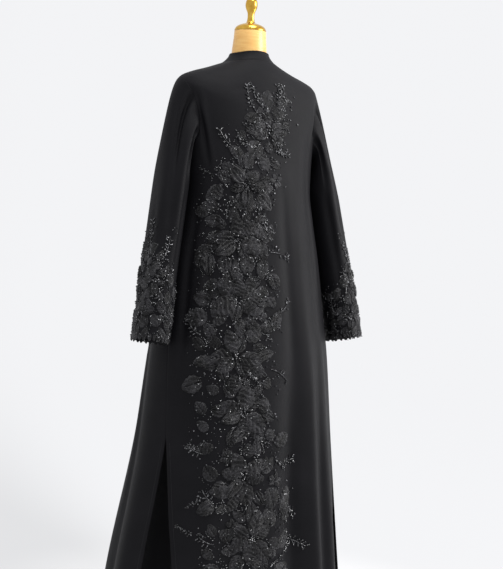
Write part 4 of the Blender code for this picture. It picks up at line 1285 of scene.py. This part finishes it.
def make_cuff_flowers(organza, jet, silk):
    petals, beads, cords = Heap(), Beads(), Heap()
    for round_it, height, length, heading, lift in cuff_pieces():
        lay = on_sleeve(round_it, height)
        sew_petal(petals, beads, lay, length, heading, lift, 0.0010, CUFF_LOOSE, CUFF_GRID, CUFF_RISE)
    for k in range(SCALLOPS):
        lay = on_sleeve((k + 0.5) / SCALLOPS - 0.5, 0.0)
        root = 0.0, SCALLOP_ROOT
        petals.add(*petal(lay, root, SCALLOP_LENGTH, -math.pi / 2, 0.0, SCALLOP_GRID, CUFF_RISE))
    sew_flowers(petals, beads, cords, on_sleeve, SLEEVE_HEADS, False, SLEEVE_HEAD_LOOSE, SLEEVE_SPRAYS)
    lay = on_sleeve(0.05, 0.0)
    for _ in range(CUFF_LOOSE_BEADS):
        height = 0.005 + 0.26 * rng.random() ** 1.6
        spread = 0.48 if height < 0.12 else 0.22
        across = spread * (2 * rng.random() - 1) * SLEEVE_GIRTH_LENGTH
        beads.add(lay, across, height, 0.0010 + 0.0009 * rng.random(), 0.0004)
    left = (petals, beads.heap(petals), cords)
    right = [heap.mirrored() for heap in left]
    finishes = (("petals", organza, True), ("beads", jet, False), ("cords", silk, True))
    return [
        [
            heap.piece("cuff_" + side + "_" + what, material, smooth)
            for heap, (what, material, smooth) in zip(heaps, finishes)
        ]
        for side, heaps in (("left", left), ("right", right))
    ]


def stitch_line(heap, turns, downs):
    """Running stitches on the body's cloth, along a line of turns and levels."""
    where, out = body_surface(turns, downs)
    along = distances(where)

    def at(far, rows):
        return np.array([np.interp(far, along, rows[:, i]) for i in range(3)])

    for start in np.arange(STITCH_PITCH, along[-1] - STITCH_PITCH, STITCH_PITCH):
        a, b = (at(start + step, where) for step in STITCH_ENDS)
        up = unit(at(start, out))
        beside = unit(np.cross(up, b - a)) * STITCH_RADIUS
        middle = (a + b) / 2
        rise = up * STITCH_RADIUS
        points = np.array([a, b, middle + beside, middle + 1.4 * rise, middle - beside, middle - rise])
        sides = ((2, 3), (3, 4), (4, 5), (5, 2))
        faces = [[0, i, n] for i, n in sides]
        faces += [[1, n, i] for i, n in sides]
        heap.add(points, faces)


def make_stitches(silk):
    """Hem and edge stitching on the back and on both fronts."""
    hem = np.full(STITCH_LINE_POINTS, HEM_DOWN - HEM_TURNING)
    downs = np.linspace(0.03, HEM_DOWN - STITCH_STOP, FRONT_EDGE_POINTS)
    slit = np.linspace(SLIT_TOP_DOWN + STITCH_STOP, HEM_DOWN - STITCH_STOP, STITCH_LINE_POINTS)
    back_slit = BACK_SLIT_TURN(slit) - SLIT_STITCH_TURN
    front_slit = FRONT_SLIT_TURN(slit) + SLIT_STITCH_TURN
    back_hem = float(back_slit[-1])
    front_hem = float(front_slit[-1]), float(front_turn(HEM_DOWN)) - EDGE_STITCH_TURN
    heap = Heap()
    stitch_line(heap, np.linspace(-back_hem, back_hem, STITCH_LINE_POINTS), hem)
    stitch_line(heap, back_slit, slit)
    stitch_line(heap, -back_slit, slit)
    made = [heap.piece("back_stitches", silk, False)]
    for name, side in (("left", 1), ("right", -1)):
        heap = Heap()
        stitch_line(heap, side * np.linspace(*front_hem, STITCH_LINE_POINTS), hem)
        stitch_line(heap, side * (front_turn(downs) - EDGE_STITCH_TURN), downs)
        stitch_line(heap, side * front_slit, slit)
        made.append(heap.piece("front_" + name + "_stitches", silk, False))
    return made


# Dress form
def smooth_mesh(body, name, material):
    mesh = bpy.data.meshes.new(name)
    body.to_mesh(mesh)
    body.free()
    mesh.polygons.foreach_set("use_smooth", [True] * len(mesh.polygons))
    mesh.materials.append(material)
    return mesh


def turned(name, profile, centre_y, material, steps=96):
    """A turned piece from radius and height pairs, from its top to its underside."""
    body = bmesh.new()
    rings = []
    for radius, z in profile:
        if radius == 0.0:
            rings.append([body.verts.new((0.0, centre_y, z))])
        else:
            places = [polar(radius, 2 * math.pi * k / steps) for k in range(steps)]
            rings.append([body.verts.new((x, centre_y + y, z)) for x, y in places])
    for upper, lower in zip(rings, rings[1:]):
        for k in range(steps):
            n = (k + 1) % steps
            places = (upper, k), (lower, k), (lower, n), (upper, n)
            kept = list(dict.fromkeys(ring[i % len(ring)] for ring, i in places))
            if len(kept) > 2:
                body.faces.new(kept)
    bmesh.ops.recalc_face_normals(body, faces=body.faces)
    for edge in body.edges:
        if len(edge.link_faces) == 2 and edge.calc_face_angle() > SHARP_ANGLE:
            edge.smooth = False
    return riding(name, smooth_mesh(body, name, material))


def rounded(profile, between=4):
    """More points along a profile's curved stretch."""
    points = np.array(profile)
    far = distances(points)
    radius, height = smooth_curve(far, points[:, 0]), smooth_curve(far, points[:, 1])
    spans = [np.linspace(a, b, between, endpoint=False) for a, b in zip(far, far[1:])]
    return [(float(radius(a)), float(height(a))) for a in np.concatenate(spans + [far[-1:]])]


# Materials
class Look:
    """A material in the making. Each call adds a node and gives back what the node puts out."""

    def __init__(self, name):
        self.material = bpy.data.materials.new(name)
        self.material.use_nodes = True
        self.tree = self.material.node_tree

    def add(self, kind, *joined, out=0, **values):
        """A node with its first inputs joined and its named inputs or settings given."""
        node = self.tree.nodes.new("ShaderNode" + kind)
        for socket, source in zip(node.inputs, joined):
            self.tree.links.new(source, socket)
        for name, value in values.items():
            if name in node.inputs.keys():
                node.inputs[name].default_value = value
            else:
                setattr(node, name, value)
        return node.outputs[out]

    def cloth_place(self):
        return self.add("UVMap", out="UV", uv_map="cloth")

    def place(self):
        return self.add("TexCoord", out="Object")

    def noise(self, place, scale, detail=2.0):
        return self.add("TexNoise", place, out="Fac", Scale=scale, Detail=detail)

    def wave(self, place, axis, scale, distortion):
        shape = {"wave_type": "BANDS", "bands_direction": axis}
        return self.add("TexWave", place, out="Fac", Scale=scale, Distortion=distortion, **shape)

    def both(self, operation, a, b):
        return self.add("Math", a, b, operation=operation)

    def ramp(self, source, low, high, start, end):
        colour = self.add("ValToRGB", source, out="Color")
        ends = colour.node.color_ramp.elements
        ends[0].position, ends[1].position = start, end
        ends[0].color, ends[1].color = (*low, 1.0), (*high, 1.0)
        return colour

    def span(self, source, from_range, to_range, kind="LINEAR"):
        """The source, from one range to another."""
        result = self.add("MapRange", source, out="Result", interpolation_type=kind)
        for socket, value in zip(result.node.inputs[1:5], (*from_range, *to_range)):
            socket.default_value = value
        return result

    def bump(self, height, strength, distance):
        normal = self.add("Bump", out="Normal", Strength=strength, Distance=distance)
        self.tree.links.new(height, normal.node.inputs["Height"])
        return normal

    def finish(self, **values):
        """The shader's inputs, joined or set. An underscore in a name stands for a space."""
        shader = self.tree.nodes["Principled BSDF"]
        for name, value in values.items():
            socket = shader.inputs[name.replace("_", " ")]
            if isinstance(value, bpy.types.NodeSocket):
                self.tree.links.new(value, socket)
            else:
                socket.default_value = value
        return self.material


def crepe_material():
    """Black crepe: a fine crossing weave with a pebbled surface."""
    look = Look("black_crepe_cloth")
    place = look.cloth_place()
    weave = look.both("ADD", look.wave(place, "X", 420.0, 1.2), look.wave(place, "Y", 420.0, 1.2))
    height = look.both("ADD", weave, look.noise(place, 900.0))
    drift = look.noise(place, 9.0, 3.0)
    return look.finish(
        Base_Color=look.ramp(drift, (0.0041, 0.0040, 0.0052), (0.0064, 0.0061, 0.0078), 0.3, 0.7),
        Normal=look.bump(height, 0.25, 0.0002),
        Roughness=0.60,
        Specular_IOR_Level=0.12,
    )


def organza_material():
    """Ruched black organza, a little shinier than the crepe. Its colour is painted lighter than the
    crepe's on the crinkle's ridges and darker in its hollows: painted highlight and painted shade, in
    patches of uneven tone.
    """
    look = Look("ruched_organza")
    place = look.cloth_place()
    crinkle = look.noise(place, 260.0, 3.0)
    height = look.both("ADD", crinkle, look.wave(place, "X", 300.0, 3.0))
    # Painted highlight on the crinkle's ridges and painted shade in its hollows, from the bump's own
    # crinkle, times patches of uneven tone
    ridge_light_and_tone = look.both("MULTIPLY", crinkle, look.noise(look.place(), 38.0, 1.0))
    return look.finish(
        Base_Color=look.ramp(ridge_light_and_tone, (0.0026, 0.0025, 0.0032), (0.035, 0.0343, 0.0384), 0.20, 0.36),
        Normal=look.bump(height, 0.6, 0.0008),
        Roughness=0.45,
        Specular_IOR_Level=0.30,
        Sheen_Weight=0.03,
        Sheen_Roughness=0.4,
    )


def jet_material():
    """Cut black glass beads with a grey lustre."""
    look = Look("jet_beads")
    speck = look.noise(look.place(), 150.0)
    return look.finish(
        Base_Color=look.ramp(speck, (0.010, 0.010, 0.012), (0.20, 0.20, 0.21), 0.44, 0.70),
        Metallic=0.45,
        Roughness=0.20,
        Coat_Weight=0.35,
        Coat_Roughness=0.05,
    )


def silk_material():
    """Black silk cord and sewing thread."""
    look = Look("black_silk_thread")
    ply = look.noise(look.place(), 700.0)
    return look.finish(
        Base_Color=look.ramp(ply, (0.016, 0.016, 0.018), (0.034, 0.034, 0.037), 0.3, 0.7),
        Normal=look.bump(ply, 0.4, 0.0003),
        Roughness=0.4,
    )


def linen_material():
    """The plain woven cover of the form's torso."""
    look = Look("torso_linen")
    place = look.place()
    weave = look.both("ADD", look.wave(place, "X", 180.0, 2.0), look.wave(place, "Z", 180.0, 2.0))
    return look.finish(
        Base_Color=look.ramp(look.noise(place, 90.0), (0.46, 0.38, 0.28), (0.60, 0.52, 0.40), 0.3, 0.7),
        Normal=look.bump(weave, 0.5, 0.0004),
        Roughness=0.85,
    )


def maple_material():
    """Pale lacquered wood, turned on a lathe."""
    look = Look("neck_maple")
    place = look.place()
    grain = look.noise(look.add("Mapping", place, Scale=(1.0, 1.0, 7.0)), 26.0, 4.0)
    return look.finish(
        Base_Color=look.ramp(grain, (0.80, 0.44, 0.125), (0.88, 0.53, 0.175), 0.35, 0.65),
        Normal=look.bump(look.wave(place, "Z", 120.0, 0.6), 0.15, 0.0003),
        Roughness=0.38,
        Coat_Weight=0.1,
        Coat_Roughness=0.3,
    )


def metal_material(name, low, high, roughness, scale):
    """Metal with faint wear in its colour and its polish."""
    look = Look(name)
    wear = look.noise(look.place(), scale, 4.0)
    return look.finish(
        Base_Color=look.ramp(wear, low, high, 0.35, 0.65),
        Roughness=look.span(wear, (0.0, 1.0), (roughness * 0.8, roughness * 1.3)),
        Metallic=1.0,
    )


def make_form():
    maple = maple_material()
    brass = metal_material("cap_brass", (0.56, 0.31, 0.04), (0.76, 0.47, 0.09), 0.22, 60.0)
    steel = metal_material("stand_steel", (0.50, 0.50, 0.51), (0.62, 0.62, 0.63), 0.30, 40.0)
    cap_profile = rounded(CAP_PROFILE[:-2]) + list(CAP_PROFILE[-2:])
    for name, profile, centre_y, material, node, slot in (
        ("neck_block", NECK_PROFILE, NECK_CENTRE_Y, maple, "form_neck", "pale_maple"),
        ("neck_cap", cap_profile, NECK_CENTRE_Y, brass, "form_cap", "polished_brass"),
        ("stand_pole", POLE_PROFILE, 0.0, steel, "form_pole", "brushed_steel"),
        ("stand_base", BASE_PROFILE, 0.0, steel, "form_base", "brushed_steel"),
    ):
        piece = turned(name, profile, centre_y, material)
        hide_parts(node)
    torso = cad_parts["form_torso"]
    linen = linen_material()
    for place in torso.material_slots:
        place.material = linen


# Stage, lights and camera
def sweep_material():
    """White paper that glows behind the object and is dimmer on the camera's side of the room."""
    look = Look("white_paper")
    level = look.add("VectorMath", look.place(), operation="MULTIPLY")
    level.node.inputs[1].default_value = (1.0, 1.0, 0.0)
    way = look.add("VectorMath", level, operation="NORMALIZE")
    facing = look.add("VectorMath", way, out="Value", operation="DOT_PRODUCT")
    facing.node.inputs[1].default_value = direction(BRIGHT_AZIMUTH)
    far = look.add("VectorMath", level, out="Value", operation="LENGTH")
    glow = look.span(facing, GLOW_FACING, GLOW_STRENGTH, "SMOOTHSTEP")
    rise = look.span(far, GLOW_RISE, (0.0, 1.0), "SMOOTHSTEP")
    return look.finish(
        Base_Color=look.span(rise, (0.0, 1.0), PAPER_TONE),
        Emission_Strength=look.both("MULTIPLY", glow, rise),
        Emission_Color=(0.975, 0.98, 1.0, 1.0),
        Roughness=0.9,
        Specular_IOR_Level=0.0,
    )


def make_stage():
    """A white sweep: a floor that curves up into a back wall, far behind on every side."""
    bends = np.linspace(0.1, math.pi / 2, 12)
    floor = SWEEP_FLOOR[-1]
    profile = [(radius, 0.0) for radius in SWEEP_FLOOR]
    profile += [(floor + SWEEP_BEND * math.sin(a), SWEEP_BEND * (1 - math.cos(a))) for a in bends]
    profile += [(floor + SWEEP_BEND, SWEEP_TOP)]
    ways = [polar(1.0, 2 * math.pi * k / SWEEP_STEPS) for k in range(SWEEP_STEPS)]
    body = bmesh.new()
    middle = body.verts.new((0.0, 0.0, 0.0))
    rings = [[body.verts.new((radius * x, radius * y, z)) for x, y in ways] for radius, z in profile]
    for k in range(SWEEP_STEPS):
        n = (k + 1) % SWEEP_STEPS
        body.faces.new([middle, rings[0][k], rings[0][n]])
        for inner, outer in zip(rings, rings[1:]):
            body.faces.new([inner[k], outer[k], outer[n], inner[n]])
    linked("sweep", smooth_mesh(body, "sweep", sweep_material()))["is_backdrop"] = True


def direction(azimuth, elevation=0.0):
    """The way to a place in the room. Azimuth 0 is the front, and 90 the wearer's left."""
    a, e = math.radians(azimuth), math.radians(elevation)
    return Vector((math.sin(a) * math.cos(e), -math.cos(a) * math.cos(e), math.sin(e)))


def make_lights():
    world = bpy.data.worlds.new("studio")
    world.use_nodes = True
    sky = world.node_tree.nodes["Background"].inputs
    sky["Color"].default_value = SKY_COLOUR
    sky["Strength"].default_value = SKY_STRENGTH
    bpy.context.scene.world = world
    for name, azimuth, elevation, distance, size, power, colour, aim_height in LIGHTS:
        light = bpy.data.lights.new(name, "AREA")
        light.shape = "DISK"
        light.size = size
        light.energy = power
        light.color = colour
        made = linked(name, light)
        aim = Vector((0.0, 0.0, aim_height))
        made.location = direction(azimuth, elevation) * distance + aim
        made.rotation_euler = (aim - made.location).to_track_quat("-Z", "Y").to_euler()


def make_camera():
    camera = bpy.data.cameras.new("camera")
    camera.sensor_width = CAMERA_SENSOR
    camera.lens = CAMERA_SENSOR * CAMERA_FOCAL_PIXELS / PHOTO_HEIGHT
    made = linked("camera", camera)
    pitch = math.radians(CAMERA_PITCH)
    away, beside = direction(CAMERA_AZIMUTH), direction(CAMERA_AZIMUTH + 90.0)
    place = away * CAMERA_DISTANCE + beside * CAMERA_SIDE + Vector((0.0, 0.0, CAMERA_HEIGHT))
    ahead = -away * math.cos(pitch) - Vector((0.0, 0.0, math.sin(pitch)))
    turn = ahead.to_track_quat("-Z", "Y").to_matrix().to_4x4()
    roll = Matrix.Rotation(math.radians(CAMERA_ROLL), 4, "Z")
    made.matrix_world = Matrix.Translation(place) @ turn @ roll
    bpy.context.scene.camera = made


bpy.context.scene.view_settings.view_transform = "Standard"
make_camera()
make_stage()
make_lights()
crepe = crepe_material()
organza = organza_material()
jet = jet_material()
silk = silk_material()
back, front_left, front_right = make_body_cloth(crepe)
sleeve_left, sleeve_right = make_sleeves(crepe)
collar = make_collar(crepe)
back_trim = make_back_flowers(organza, jet, silk)
cuff_left, cuff_right = make_cuff_flowers(organza, jet, silk)
back_stitches, left_stitches, right_stitches = make_stitches(silk)
back_trim.append(back_stitches)
for trim in (back_trim, cuff_left, cuff_right, [left_stitches, right_stitches]):
    for piece in trim:
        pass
make_form()

for sleeve, front, cuff in ((sleeve_left, front_left, cuff_left), (sleeve_right, front_right, cuff_right)):
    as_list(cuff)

boxes = {"cad": cad_box, "visual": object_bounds()}
{name: [[float(v) for v in corner] for corner in box] for name, box in boxes.items()}
